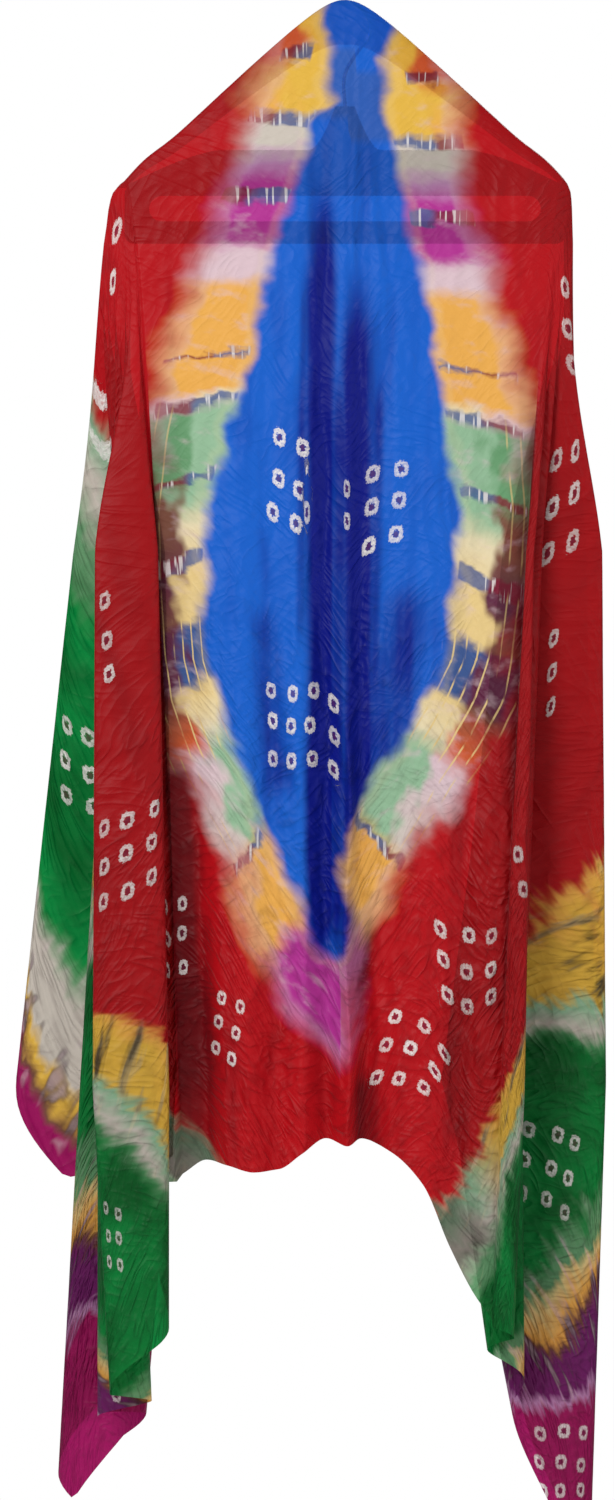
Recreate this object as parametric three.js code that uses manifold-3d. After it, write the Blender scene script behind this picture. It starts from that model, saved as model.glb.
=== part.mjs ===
// A tie-dyed silk dupatta that hangs over a flat clothes hanger.
// Millimetres, +Z up. X runs along the hanger, the front of the cloth faces -Y.
// The origin is the inner top of the hook, where a rail would hold it.
import * as THREE from 'three';
import { mergeVertices } from 'three/addons/utils/BufferGeometryUtils.js';
import Module from 'manifold-3d';

const wasm = await Module();
wasm.setup();

// Cloth
const CLOTH_LENGTH = 2286;
const CLOTH_WIDTH = 1118;
const CLOTH_THICKNESS = 1.2;
const SEAT_GAP = 0.4;

// Hook
const WIRE_DIAMETER = 3.2;
const HOOK_INNER_RADIUS = 22;
const HOOK_OPEN_ANGLE = 205;
const HOOK_JOIN_ANGLE = -48;
const STEM_BEND_HEIGHT = -66;
const SOCKET_DEPTH = 14;

// Hanger body
const HANGER_THICKNESS = 8;
const HANGER_EDGE = 3;
const NECK_TOP = -96;
const NECK_HALF_WIDTH = 9;
const NECK_FOOT_HALF_WIDTH = 24;
const SHOULDER_TOP = -137;
const SHOULDER_HALF_WIDTH = 118;
const TIP_RADIUS = 14;
const TIP_REST = 4.2;
const SLOT_TOP = -180;
const SLOT_BOTTOM = -204;
const SLOT_HALF_WIDTH = 184;
const BAR_BOTTOM = -225;
const BAR_CORNER_RADIUS = 9;
// The tip's arc ends at this angle above the horizontal; a curve leads on to the flat shoulder.
const TIP_ARC_ANGLE = 70;
const SHOULDER_CURVE_REACH = 30;
const SHOULDER_CURVE_DROP = 4;
const NECK_CURVE_REACH = 10;

// Fineness of round shapes
const WIRE_SEGMENTS = 6;
const HOOK_ARC_STEPS = 14;
const HOOK_STEPS = 44;
const OUTLINE_SEGMENTS = 8;
const EDGE_SEGMENTS = 2;
const SOCKET_SIDES = 12;
const MERGE_DISTANCE = 1e-4;

// Crest: the line from the peak over the hook to the two shoulder tips
const TIP_X = 206;
const CREST_SLOPE = 0.94;
const CREST_ROUNDING = 25.5;
const PEAK_Z = WIRE_DIAMETER + SEAT_GAP + CLOTH_THICKNESS / 2;
const FLAP_AT_PEAK = 45;
const FLAP_AT_TIP = 11;
const CREST_STEPS = 64;

// Over the crest the cloth turns from the flap behind to the panel in front.
// run: cloth length from the crest, out: distance from the hanger's plane, down: fall.
const CREST_TURN = [
  { run: 4.4, out: 4.2, down: 1.2 },
  { run: 11, out: 6.6, down: 7.4 },
  { run: 32, out: 8.2, down: 28 },
];

// Front panel: hang lines, each from the crest to the hem.
// along: place on the crest, foot: X at the hem, lift: Y at the hem, hem: depth below the
// peak, steps: columns to the next line.
const FRONT_LINES = [
  { along: -272, foot: -152, lift: -15, hem: 1102, steps: 2 },
  { along: -240, foot: -130, lift: -12, hem: 1089, steps: 2 },
  { along: -205, foot: -110, lift: -42, hem: 1092, steps: 2 },
  { along: -160, foot: -86, lift: -50, hem: 1098, steps: 2 },
  { along: -112, foot: -62, lift: -36, hem: 1096, steps: 2 },
  { along: -70, foot: -40, lift: -46, hem: 1081, steps: 3 },
  { along: -34, foot: -18, lift: -22, hem: 1068, steps: 4 },
  { along: 0, foot: 2, lift: -46, hem: 1074, steps: 4 },
  { along: 28, foot: 15, lift: -26, hem: 1068, steps: 4 },
  { along: 76, foot: 42, lift: -44, hem: 1079, steps: 2 },
  { along: 130, foot: 72, lift: -56, hem: 1109, steps: 2 },
  { along: 180, foot: 97, lift: -50, hem: 1167, steps: 2 },
  { along: 230, foot: 120, lift: -62, hem: 1211, steps: 2 },
  { along: 272, foot: 136, lift: -60, hem: 1233, steps: 0 },
];

// Below each shoulder tip the cloth's end falls in folds, like a fan that is closed.
// Depths below the tip at which the folds' places are given.
const COLLAR_DEPTH = 60;
const WAIST_DEPTH = 350;
const KNEE_DEPTH = 850;
const FOOT_DEPTH = 1150;
const BELOW_KNEE_SPREAD = 0.3;

// One row per fold, from the front panel (90) to the upper edge (0).
// angle: degrees in the flat cloth about the tip. waist, knee, foot: distance inwards from
// the tip at those depths. lift: Y, at the knee, of the cloth between this fold and the next.
// steps: columns to the next fold.
const LEFT_FOLDS = [
  { angle: 90, waist: 28, knee: 47, foot: 54, lift: -12, steps: 3 },
  { angle: 87, waist: 13, knee: 24, foot: 32, lift: -34, steps: 3 },
  { angle: 83, waist: 31, knee: 42, foot: 42, lift: -58, steps: 4 },
  { angle: 76, waist: -28, knee: -29, foot: -12, lift: -46, steps: 3 },
  { angle: 72, waist: 5, knee: 13, foot: 26, lift: -28, steps: 4 },
  { angle: 67, waist: -14, knee: -26, foot: -26, lift: 4, steps: 4 },
  { angle: 60, waist: 36, knee: 46, foot: 20, lift: 20, steps: 4 },
  { angle: 48, waist: -14, knee: -44, foot: -61, lift: 35, steps: 4 },
  { angle: 41, waist: 36, knee: 47, foot: 18, lift: 50, steps: 4 },
  { angle: 33, waist: -14, knee: -44, foot: -56, lift: 65, steps: 4 },
  { angle: 25, waist: 36, knee: 45, foot: 14, lift: 80, steps: 4 },
  { angle: 18, waist: -12, knee: -42, foot: -40, lift: 95, steps: 4 },
  { angle: 11, waist: 32, knee: 44, foot: 34, lift: 110, steps: 5 },
  { angle: 0, waist: -52, knee: -109, foot: -140, lift: 118, steps: 0 },
];
const RIGHT_FOLDS = [
  { angle: 90, waist: 37, knee: 61, foot: 73, lift: -56, steps: 2 },
  { angle: 83, waist: 29, knee: 39, foot: 52, lift: -38, steps: 4 },
  { angle: 77, waist: 58, knee: 108, foot: 66, lift: -24, steps: 4 },
  { angle: 70, waist: 21, knee: 40, foot: 38, lift: -10, steps: 4 },
  { angle: 65, waist: 58, knee: 110, foot: 51, lift: 5, steps: 5 },
  { angle: 52, waist: -36, knee: -40, foot: -30, lift: 20, steps: 4 },
  { angle: 43, waist: 52, knee: 114, foot: 40, lift: 36, steps: 4 },
  { angle: 34, waist: -22, knee: -32, foot: -26, lift: 52, steps: 4 },
  { angle: 25, waist: 50, knee: 114, foot: 38, lift: 68, steps: 4 },
  { angle: 16.5, waist: -20, knee: -32, foot: -24, lift: 84, steps: 4 },
  { angle: 8, waist: 48, knee: 112, foot: 36, lift: 100, steps: 4 },
  { angle: 0, waist: -8, knee: -14, foot: -12, lift: 108, steps: 0 },
];

// Creases and bends shorten a fold's fall: the share of its flat length that it drops.
const LEFT_FALL = [
  { angle: 90, share: 0.85 },
  { angle: 87, share: 0.85 },
  { angle: 85.5, share: 0.93 },
  { angle: 83, share: 0.963 },
  { angle: 76, share: 0.995 },
  { angle: 67, share: 0.965 },
  { angle: 60, share: 0.908 },
  { angle: 56, share: 0.886 },
  { angle: 51.8, share: 0.881 },
  { angle: 48, share: 0.933 },
  { angle: 20, share: 0.98 },
  { angle: 4.5, share: 1.08 },
  { angle: 1, share: 1.0 },
  { angle: 0, share: 0.973 },
];
const RIGHT_FALL = [
  { angle: 90, share: 0.968 },
  { angle: 83, share: 0.972 },
  { angle: 65, share: 0.95 },
  { angle: 60, share: 0.975 },
  { angle: 52, share: 0.985 },
  { angle: 0, share: 0.97 },
];

// How far the cloth stands out past each tip, by depth, before its folds open.
const LEFT_BULGE = [
  { depth: 0, out: 0 },
  { depth: 8, out: 12 },
  { depth: 28, out: 17 },
  { depth: COLLAR_DEPTH, out: 21 },
  { depth: WAIST_DEPTH, out: 52 },
];
const RIGHT_BULGE = [
  { depth: 0, out: 0 },
  { depth: 8, out: 9 },
  { depth: 28, out: 12 },
  { depth: COLLAR_DEPTH, out: 14 },
  { depth: WAIST_DEPTH, out: 28 },
];
const COLLAR_BACK_LIFT = 11;
const COLLAR_ROW = 2;

// Depths of the rows between the turn over the tip and the even rows.
const OPENING_DEPTHS = [COLLAR_DEPTH, 102, 150];
const EVEN_ROWS = 12;
const TURN_ROUNDNESS = 2.4;
const TURN_SHARE = 0.12;
const FOLD_GROWTH = 1.25;
const GATHER_GROWTH = 0.6;
const LIFT_GROWTH = 0.8;
const LEAST_SLOPE = 0.01;

const mix = (from, to, share) => from + (to - from) * share;
const ease = (share) => (1 - Math.cos(Math.PI * share)) / 2;
const radians = (angle) => (angle * Math.PI) / 180;

// Reads a table of rows by straight steps between them; keys may rise or fall.
function lookUp(table, key, value, at) {
  for (let row = 1; row < table.length; row += 1) {
    const from = table[row - 1];
    const to = table[row];
    const share = (at - from[key]) / (to[key] - from[key]);
    if (share <= 1) {
      return mix(from[value], to[value], Math.max(share, 0));
    }
  }
  return table[table.length - 1][value];
}

function crestZ(x) {
  return PEAK_Z - CREST_SLOPE * (Math.hypot(x, CREST_ROUNDING) - CREST_ROUNDING);
}

// The cloth's length along the crest from the peak to x, by short steps.
function crestRun(x) {
  let run = 0;
  for (let step = 0; step < CREST_STEPS; step += 1) {
    const from = (x * step) / CREST_STEPS;
    const to = (x * (step + 1)) / CREST_STEPS;
    run += Math.hypot(to - from, crestZ(to) - crestZ(from));
  }
  return run;
}

const TIP_Z = crestZ(TIP_X);
const TIP_RUN = crestRun(TIP_X);
const EDGE_RUN = CLOTH_LENGTH / 2 - TIP_RUN;
const FRONT_DROP = CLOTH_WIDTH - FLAP_AT_TIP;

// Depths of the rows on a hang line: the turn's, those where folds open, then even steps.
function rowDepths(fall) {
  const depths = [0, ...CREST_TURN.map((row) => row.down), ...OPENING_DEPTHS];
  const start = depths[depths.length - 1];
  for (let row = 1; row <= EVEN_ROWS; row += 1) {
    depths.push(mix(start, fall, row / EVEN_ROWS));
  }
  return depths;
}

function turnOut(depth) {
  const turn = [{ out: 0, down: 0 }, ...CREST_TURN];
  return lookUp(turn, 'down', 'out', depth);
}

// A point of the front panel at a place along the crest and a depth below it.
function frontLine(along) {
  const x = (along / TIP_RUN) * TIP_X;
  const z = crestZ(x);
  const scaled = (along / TIP_RUN) * FRONT_LINES[FRONT_LINES.length - 1].along;
  const foot = lookUp(FRONT_LINES, 'along', 'foot', scaled);
  const lift = lookUp(FRONT_LINES, 'along', 'lift', scaled);
  const hem = lookUp(FRONT_LINES, 'along', 'hem', scaled);
  const fall = z - (PEAK_Z - hem);
  const place = (depth) => {
    const share = depth / fall;
    const across = mix(x, foot, share ** GATHER_GROWTH);
    return new THREE.Vector3(across, mix(-turnOut(depth), lift, share ** FOLD_GROWTH), z - depth);
  };
  return { fall, place, x, z };
}

// Where the cloth between two folds sits: it turns at each fold and is flattest between.
function foldAt(folds, row, share) {
  const from = folds[row];
  const to = folds[row + 1];
  const across = ease(share);
  const before = row > 0 ? (folds[row - 1].lift + from.lift) / 2 : from.lift;
  const after = (from.lift + to.lift) / 2;
  const turned = Math.abs(2 * share - 1) ** TURN_ROUNDNESS;
  return {
    angle: mix(from.angle, to.angle, share),
    waist: mix(from.waist, to.waist, across),
    knee: mix(from.knee, to.knee, across),
    foot: mix(from.foot, to.foot, across),
    lift: mix(from.lift, share < 0.5 ? before : after, turned),
  };
}

// Flat length from the tip to the cloth's edge: the hem, or past the corner the short edge.
function flatReach(angle) {
  const toHem = FRONT_DROP / Math.max(Math.sin(radians(angle)), LEAST_SLOPE);
  const toShortEdge = EDGE_RUN / Math.max(Math.cos(radians(angle)), LEAST_SLOPE);
  return Math.min(toHem, toShortEdge);
}

// Round the left tip the upper edge ends outermost; round the right tip it turns behind.
function collarSpot(side, around, front, depth) {
  const bulge = side < 0 ? LEFT_BULGE : RIGHT_BULGE;
  const turn = side < 0 ? around / 2 : around;
  const start = front.place(Math.min(depth, front.fall));
  const out = lookUp(bulge, 'depth', 'out', depth) * Math.sin(Math.PI * turn);
  const back = Math.min(COLLAR_BACK_LIFT, turnOut(depth));
  return {
    inwards: mix(TIP_X - side * start.x, 0, around) - out,
    lift: mix(start.y, back, around),
  };
}

function openedSpot(fold, depth) {
  const spread = Math.min(depth, KNEE_DEPTH) / KNEE_DEPTH;
  const beyond = Math.max(0, depth - KNEE_DEPTH) / KNEE_DEPTH;
  const lift = fold.lift * (spread ** LIFT_GROWTH + BELOW_KNEE_SPREAD * beyond);
  if (depth > KNEE_DEPTH) {
    const share = (depth - KNEE_DEPTH) / (FOOT_DEPTH - KNEE_DEPTH);
    return { inwards: mix(fold.knee, fold.foot, share), lift };
  }
  if (depth > WAIST_DEPTH) {
    const share = (depth - WAIST_DEPTH) / (KNEE_DEPTH - WAIST_DEPTH);
    return { inwards: mix(fold.waist, fold.knee, share), lift };
  }
  return { inwards: (fold.waist * depth) / WAIST_DEPTH, lift };
}

function cornerLine(side, fold, front) {
  const falls = side < 0 ? LEFT_FALL : RIGHT_FALL;
  const fall = flatReach(fold.angle) * lookUp(falls, 'angle', 'share', fold.angle);
  const place = (depth) => {
    const collar = collarSpot(side, 1 - fold.angle / 90, front, depth);
    const opened = openedSpot(fold, depth);
    const reached = (depth - COLLAR_DEPTH) / (WAIST_DEPTH - COLLAR_DEPTH);
    const blend = ease(Math.min(1, Math.max(0, reached)));
    const inwards = mix(collar.inwards, opened.inwards, blend);
    const lift = mix(collar.lift, opened.lift, Math.sqrt(blend));
    return new THREE.Vector3(side * (TIP_X - inwards), lift, TIP_Z - depth);
  };
  return { fall, place };
}

// The cloth's middle surface as a grid: columns of points, and triangles between them.
function clothSheet() {
  const points = [];
  const triangles = [];
  const addPoint = (point) => points.push(point) - 1;
  const addTriangle = (a, b, c) => {
    if (a !== b && b !== c && c !== a) {
      triangles.push([a, b, c]);
    }
  };
  const join = (left, right) => {
    for (let row = 1; row < Math.min(left.length, right.length); row += 1) {
      addTriangle(left[row - 1], left[row], right[row]);
      addTriangle(left[row - 1], right[row], right[row - 1]);
    }
  };

  const frontAt = (share) => frontLine(mix(-TIP_RUN, TIP_RUN, share));
  const widest = FRONT_LINES[FRONT_LINES.length - 1].along;
  const shares = [];
  for (let row = 0; row < FRONT_LINES.length - 1; row += 1) {
    const { steps } = FRONT_LINES[row];
    for (let step = 0; step < steps; step += 1) {
      const along = mix(FRONT_LINES[row].along, FRONT_LINES[row + 1].along, step / steps);
      shares.push((along + widest) / (2 * widest));
    }
  }
  shares.push(1);
  const lines = shares.map(frontAt);
  const front = lines.map((line) => rowDepths(line.fall).map((depth) => addPoint(line.place(depth))));
  const flap = lines.map((line, column) => {
    const spread = Math.abs(2 * shares[column] - 1);
    const reach = mix(FLAP_AT_PEAK, FLAP_AT_TIP, spread) - CREST_TURN[1].run + CREST_TURN[1].down;
    const ids = [front[column][0]];
    for (const row of CREST_TURN.slice(0, 2)) {
      ids.push(addPoint(new THREE.Vector3(line.x, row.out, line.z - row.down)));
    }
    if (spread < 1) {
      ids.push(addPoint(new THREE.Vector3(line.x, CREST_TURN[2].out, line.z - reach)));
    }
    return ids;
  });
  for (let column = 1; column < lines.length; column += 1) {
    join(front[column - 1], front[column]);
    join(flap[column], flap[column - 1]);
  }
  const lastFlap = flap.length - 1;
  addTriangle(flap[1][2], flap[1][3], flap[0][2]);
  addTriangle(flap[lastFlap][2], flap[lastFlap - 1][3], flap[lastFlap - 1][2]);

  const corner = (side, folds, edge) => {
    const line = lines[edge];
    const apex = front[edge][0];
    let previous = front[edge];
    const pair = (before, after) => (side < 0 ? join(after, before) : join(before, after));
    for (let row = 0; row < folds.length - 1; row += 1) {
      const last = folds[row].steps - 1;
      const end = row === folds.length - 2 ? 1 : 1 - TURN_SHARE;
      for (let step = 0; step <= last; step += 1) {
        const fold = foldAt(folds, row, mix(TURN_SHARE, end, step / last));
        const ray = cornerLine(side, fold, line);
        const ids = rowDepths(ray.fall).map((depth, index) => (
          index < COLLAR_ROW ? apex : addPoint(ray.place(depth))));
        pair(previous, ids);
        previous = ids;
      }
    }
    const [, first, second] = flap[edge];
    const ring = previous[COLLAR_ROW];
    if (side < 0) {
      addTriangle(ring, apex, first);
      addTriangle(ring, first, second);
    } else {
      addTriangle(ring, first, apex);
      addTriangle(ring, second, first);
    }
  };
  corner(-1, LEFT_FOLDS, 0);
  corner(1, RIGHT_FOLDS, lines.length - 1);
  return { points, triangles };
}

function geometryOf(positions, indices) {
  const geometry = new THREE.BufferGeometry();
  geometry.setAttribute('position', new THREE.Float32BufferAttribute(positions, 3));
  geometry.setIndex(indices);
  geometry.computeVertexNormals();
  return geometry;
}

// The sheet's normal at each point: its triangles' normals, each weighed by its angle there.
function sheetNormals({ points, triangles }) {
  const normals = points.map(() => new THREE.Vector3());
  for (const triangle of triangles) {
    const corners = triangle.map((id) => points[id]);
    const flat = new THREE.Triangle(...corners).getNormal(new THREE.Vector3());
    triangle.forEach((id, index) => {
      const toNext = corners[(index + 1) % 3].clone().sub(corners[index]);
      const toLast = corners[(index + 2) % 3].clone().sub(corners[index]);
      normals[id].addScaledVector(flat, toNext.angleTo(toLast));
    });
  }
  return normals.map((normal) => normal.normalize());
}

// Gives a sheet its thickness: a skin on each side, and a rim along its free edges.
function thicken({ points, triangles }, thickness) {
  const normals = sheetNormals({ points, triangles });
  const count = points.length;
  const positions = [];
  for (const side of [0.5, -0.5]) {
    points.forEach((point, index) => {
      positions.push(...point.clone().addScaledVector(normals[index], side * thickness).toArray());
    });
  }
  const indices = [];
  const edges = new Set();
  for (const [a, b, c] of triangles) {
    indices.push(a, b, c, count + a, count + c, count + b);
    edges.add(`${a} ${b}`).add(`${b} ${c}`).add(`${c} ${a}`);
  }
  for (const edge of edges) {
    const [a, b] = edge.split(' ').map(Number);
    if (!edges.has(`${b} ${a}`)) {
      indices.push(b, a, count + a, b, count + a, count + b);
    }
  }
  return geometryOf(positions, indices);
}

// The body's outline from the front: neck, sloped shoulders, round tips and a long slot.
function hangerBodyGeometry() {
  const tipReach = TIP_X - Math.SQRT1_2 * (TIP_RADIUS + TIP_REST);
  const tipDrop = TIP_Z - Math.SQRT1_2 * (TIP_RADIUS + TIP_REST);
  const end = tipReach + TIP_RADIUS;
  const corner = BAR_CORNER_RADIUS;
  const arcAngle = radians(TIP_ARC_ANGLE);
  const curveX = SHOULDER_HALF_WIDTH + SHOULDER_CURVE_REACH;
  const curveZ = SHOULDER_TOP - SHOULDER_CURVE_DROP;
  const neckX = NECK_FOOT_HALF_WIDTH + NECK_CURVE_REACH;
  const outline = new THREE.Shape();
  outline.moveTo(0, BAR_BOTTOM);
  outline.lineTo(end - corner, BAR_BOTTOM);
  outline.absarc(end - corner, BAR_BOTTOM + corner, corner, -Math.PI / 2, 0);
  outline.absarc(tipReach, tipDrop, TIP_RADIUS, 0, arcAngle);
  outline.quadraticCurveTo(curveX, curveZ, SHOULDER_HALF_WIDTH, SHOULDER_TOP);
  outline.lineTo(neckX, SHOULDER_TOP);
  outline.quadraticCurveTo(NECK_FOOT_HALF_WIDTH, SHOULDER_TOP, NECK_HALF_WIDTH, NECK_TOP);
  outline.lineTo(-NECK_HALF_WIDTH, NECK_TOP);
  outline.quadraticCurveTo(-NECK_FOOT_HALF_WIDTH, SHOULDER_TOP, -neckX, SHOULDER_TOP);
  outline.lineTo(-SHOULDER_HALF_WIDTH, SHOULDER_TOP);
  outline.quadraticCurveTo(
    -curveX,
    curveZ,
    -tipReach - TIP_RADIUS * Math.cos(arcAngle),
    tipDrop + TIP_RADIUS * Math.sin(arcAngle),
  );
  outline.absarc(-tipReach, tipDrop, TIP_RADIUS, Math.PI - arcAngle, Math.PI);
  outline.absarc(-end + corner, BAR_BOTTOM + corner, corner, Math.PI, 1.5 * Math.PI);
  const slot = new THREE.Path();
  const round = (SLOT_TOP - SLOT_BOTTOM) / 2;
  slot.absarc(SLOT_HALF_WIDTH - round, SLOT_BOTTOM + round, round, -Math.PI / 2, Math.PI / 2);
  slot.absarc(-SLOT_HALF_WIDTH + round, SLOT_BOTTOM + round, round, Math.PI / 2, 1.5 * Math.PI);
  slot.closePath();
  outline.holes.push(slot);
  const geometry = new THREE.ExtrudeGeometry(outline, {
    depth: HANGER_THICKNESS - 2 * HANGER_EDGE,
    bevelThickness: HANGER_EDGE,
    bevelSize: HANGER_EDGE,
    bevelOffset: -HANGER_EDGE,
    bevelSegments: EDGE_SEGMENTS,
    curveSegments: OUTLINE_SEGMENTS,
  });
  geometry.rotateX(Math.PI / 2);
  geometry.translate(0, HANGER_THICKNESS / 2 - HANGER_EDGE, 0);
  return geometry;
}

// The wire's middle line: a straight stem, a bend to one side, then the round hook.
function hookPath() {
  const radius = HOOK_INNER_RADIUS + WIRE_DIAMETER / 2;
  const arcPoint = (angle) => new THREE.Vector3(
    radius * Math.cos(radians(angle)),
    0,
    -HOOK_INNER_RADIUS + radius * Math.sin(radians(angle)),
  );
  const points = [
    new THREE.Vector3(0, 0, NECK_TOP - SOCKET_DEPTH),
    new THREE.Vector3(0, 0, NECK_TOP),
    new THREE.Vector3(0, 0, STEM_BEND_HEIGHT),
  ];
  for (let step = 0; step <= HOOK_ARC_STEPS; step += 1) {
    points.push(arcPoint(mix(HOOK_JOIN_ANGLE, HOOK_OPEN_ANGLE, step / HOOK_ARC_STEPS)));
  }
  return new THREE.CatmullRomCurve3(points, false, 'centripetal');
}

function circle(radius) {
  const shape = new THREE.Shape();
  shape.absarc(0, 0, radius, 0, 2 * Math.PI);
  return shape;
}

function hookGeometry() {
  return new THREE.ExtrudeGeometry(circle(WIRE_DIAMETER / 2), {
    steps: HOOK_STEPS,
    curveSegments: WIRE_SEGMENTS,
    extrudePath: hookPath(),
  });
}

function toSolid(geometry) {
  const bare = geometry.clone();
  bare.deleteAttribute('normal');
  bare.deleteAttribute('uv');
  const merged = mergeVertices(bare, MERGE_DISTANCE);
  return new wasm.Manifold(new wasm.Mesh({
    numProp: 3,
    vertProperties: Float32Array.from(merged.getAttribute('position').array),
    triVerts: Uint32Array.from(merged.getIndex().array),
  }));
}

// The hook's stem stands in a round socket in the neck.
function withSocket(body) {
  const socket = new THREE.CylinderGeometry(
    WIRE_DIAMETER / 2 + SEAT_GAP,
    WIRE_DIAMETER / 2 + SEAT_GAP,
    2 * (SOCKET_DEPTH + SEAT_GAP),
    SOCKET_SIDES,
  );
  socket.rotateX(Math.PI / 2);
  socket.translate(0, 0, NECK_TOP);
  const mesh = toSolid(body).subtract(toSolid(socket)).getMesh();
  return geometryOf(Array.from(mesh.vertProperties), Array.from(mesh.triVerts));
}

function part(name, geometry, color, roughness, metalness) {
  const material = new THREE.MeshStandardMaterial({ color, roughness, metalness });
  const mesh = new THREE.Mesh(geometry, material);
  mesh.name = name;
  return mesh;
}

const hangingDupatta = new THREE.Group();
hangingDupatta.add(part('hanger_hook', hookGeometry(), 0xb8bcc0, 0.3, 1));
hangingDupatta.add(part('hanger_body', withSocket(hangerBodyGeometry()), 0x2a2a2e, 0.5, 0));
hangingDupatta.add(part('dupatta', thicken(clothSheet(), CLOTH_THICKNESS), 0xb4141c, 0.55, 0));

export default hangingDupatta;
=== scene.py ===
import math

import bpy
import numpy as np
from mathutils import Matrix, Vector, noise


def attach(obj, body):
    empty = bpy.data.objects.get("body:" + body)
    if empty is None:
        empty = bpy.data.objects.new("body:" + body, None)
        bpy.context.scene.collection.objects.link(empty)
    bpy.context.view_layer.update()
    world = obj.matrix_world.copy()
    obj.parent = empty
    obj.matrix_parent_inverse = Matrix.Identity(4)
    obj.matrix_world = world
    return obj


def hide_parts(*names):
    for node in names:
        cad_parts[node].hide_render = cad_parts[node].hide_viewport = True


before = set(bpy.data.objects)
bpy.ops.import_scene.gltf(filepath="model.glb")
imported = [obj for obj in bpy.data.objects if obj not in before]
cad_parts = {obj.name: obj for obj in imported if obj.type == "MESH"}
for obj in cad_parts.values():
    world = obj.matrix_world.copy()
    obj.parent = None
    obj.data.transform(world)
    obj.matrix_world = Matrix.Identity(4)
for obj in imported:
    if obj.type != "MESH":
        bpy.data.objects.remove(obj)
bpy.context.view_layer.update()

bl_info = {
    "name": "Tie-dyed dupatta on a hanger",
    "version": (1, 0, 0),
    "blender": (4, 5, 0),
    "location": "3D View > Sidebar > Dupatta",
    "description": "Dresses the hanging dupatta, its hanger and a plain studio",
    "category": "Object",
}

# Lengths in the tables are millimetres. MM turns them into metres.
MM = 0.001

# Cloth as cut
CLOTH_LENGTH = 2286.0
CLOTH_WIDTH = 1118.0

# Crest: the line from the peak over the hook to the two shoulder tips
TIP_X = 206.0
CREST_SLOPE = 0.94
CREST_ROUNDING = 25.5
PEAK_Z = 4.2
# The crest lies a little higher where the shoulders round off.
SHOULDER_X = 190.0
SHOULDER_REACH = 20.0
SHOULDER_RISE = 4.5
# The flap behind the crest: its width at the peak and at the tips.
FLAP_AT_PEAK = 45.0
FLAP_AT_TIP = 11.0
# The turn over the crest: its depth, the flat cloth that it takes up, and how far the
# cloth stands out on its way down.
RING_DEPTH = 7.4
FLAP_FLAT_OF_RING = 11.0
TURN_DOWN = (0.0, 1.2, 7.4, 28.0)
TURN_OUT = (0.0, 4.2, 6.6, 8.2)

# Front panel, by hang lines. along: place on the crest, foot: X at the hem,
# lift: Y at the hem, hem: depth below the peak.
FRONT_COLUMNS = ("along", "foot", "lift", "hem")
FRONT_LINES = (
    (-272, -152, -15, 1102),
    (-240, -130, -12, 1089),
    (-205, -110, -42, 1092),
    (-160, -86, -50, 1098),
    (-112, -62, -36, 1096),
    (-70, -40, -46, 1081),
    (-34, -18, -22, 1068),
    (0, 2, -46, 1074),
    (28, 15, -26, 1068),
    (76, 42, -44, 1079),
    (130, 72, -56, 1109),
    (180, 97, -50, 1167),
    (230, 120, -62, 1211),
    (272, 136, -60, 1233),
)
# Mesh columns of the front panel
FRONT_COUNT = 220

# Folds below each tip. Depths below the tip at which the folds' places are given.
COLLAR_DEPTH = 60.0
WAIST_DEPTH = 350.0
KNEE_DEPTH = 850.0
FOOT_DEPTH = 1150.0
BELOW_KNEE_SPREAD = 0.3
# Rows between the crest and the even rows below the collar.
COLLAR_ROWS = (12.0, 18.0, 28.0, 43.0, COLLAR_DEPTH)

# One row for each fold, from the front panel (90) to the upper edge (0).
# angle: degrees in the flat cloth about the tip. waist, knee, foot: distance inwards
# from the tip at those depths. lift: Y at the knee of the cloth up to the next fold.
# count: mesh columns to the next fold.
FOLD_COLUMNS = ("angle", "waist", "knee", "foot", "lift", "count")
LEFT_FOLDS = (
    (90, 28, 47, 54, -12, 8),
    (87, 13, 24, 32, -34, 12),
    (83, 31, 42, 42, -58, 18),
    (76, -28, -29, -12, -46, 12),
    (72, 5, 13, 26, -28, 10),
    (67, -14, -26, -26, 4, 12),
    (60, 36, 46, 20, 20, 18),
    (48, -14, -44, -61, 35, 10),
    (41, 36, 47, 18, 50, 9),
    (33, -14, -44, -56, 65, 9),
    (25, 36, 45, 14, 80, 9),
    (18, -12, -42, -40, 95, 10),
    (11, 32, 44, 34, 110, 28),
    (0, -52, -109, -140, 118, 0),
)
RIGHT_FOLDS = (
    (90, 37, 61, 73, -56, 10),
    (83, 29, 39, 52, -38, 12),
    (77, 58, 108, 66, -24, 10),
    (70, 21, 40, 38, -10, 10),
    (65, 58, 110, 51, 5, 28),
    (52, -36, -40, -30, 20, 10),
    (43, 52, 114, 40, 36, 9),
    (34, -22, -32, -26, 52, 9),
    (25, 50, 114, 38, 68, 9),
    (16.5, -20, -32, -24, 84, 9),
    (8, 48, 112, 36, 100, 18),
    (0, -8, -14, -12, 108, 0),
)

# The share of its flat length that a hang line drops, by its angle: creases and bends
# take the rest.
LEFT_FALL = (
    (0, 0.973),
    (1, 1.0),
    (4.5, 1.08),
    (20, 0.98),
    (48, 0.933),
    (51.8, 0.881),
    (56, 0.886),
    (60, 0.908),
    (67, 0.965),
    (76, 0.995),
    (83, 0.963),
    (85.5, 0.93),
    (87, 0.85),
    (90, 0.85),
)
RIGHT_FALL = (
    (0, 0.97),
    (52, 0.985),
    (60, 0.975),
    (65, 0.95),
    (83, 0.972),
    (90, 0.968),
)

# How far the cloth stands out past each tip, by depth, before its folds open.
BULGE_DEPTHS = (0.0, 4.0, 11.0, 22.0, 43.0, COLLAR_DEPTH, WAIST_DEPTH)
LEFT_BULGE = (0.0, 5.5, 12.0, 16.0, 18.5, 21.0, 52.0)
RIGHT_BULGE = (0.0, 4.0, 8.0, 10.5, 12.5, 14.0, 28.0)
COLLAR_BACK_LIFT = 11.0

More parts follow.
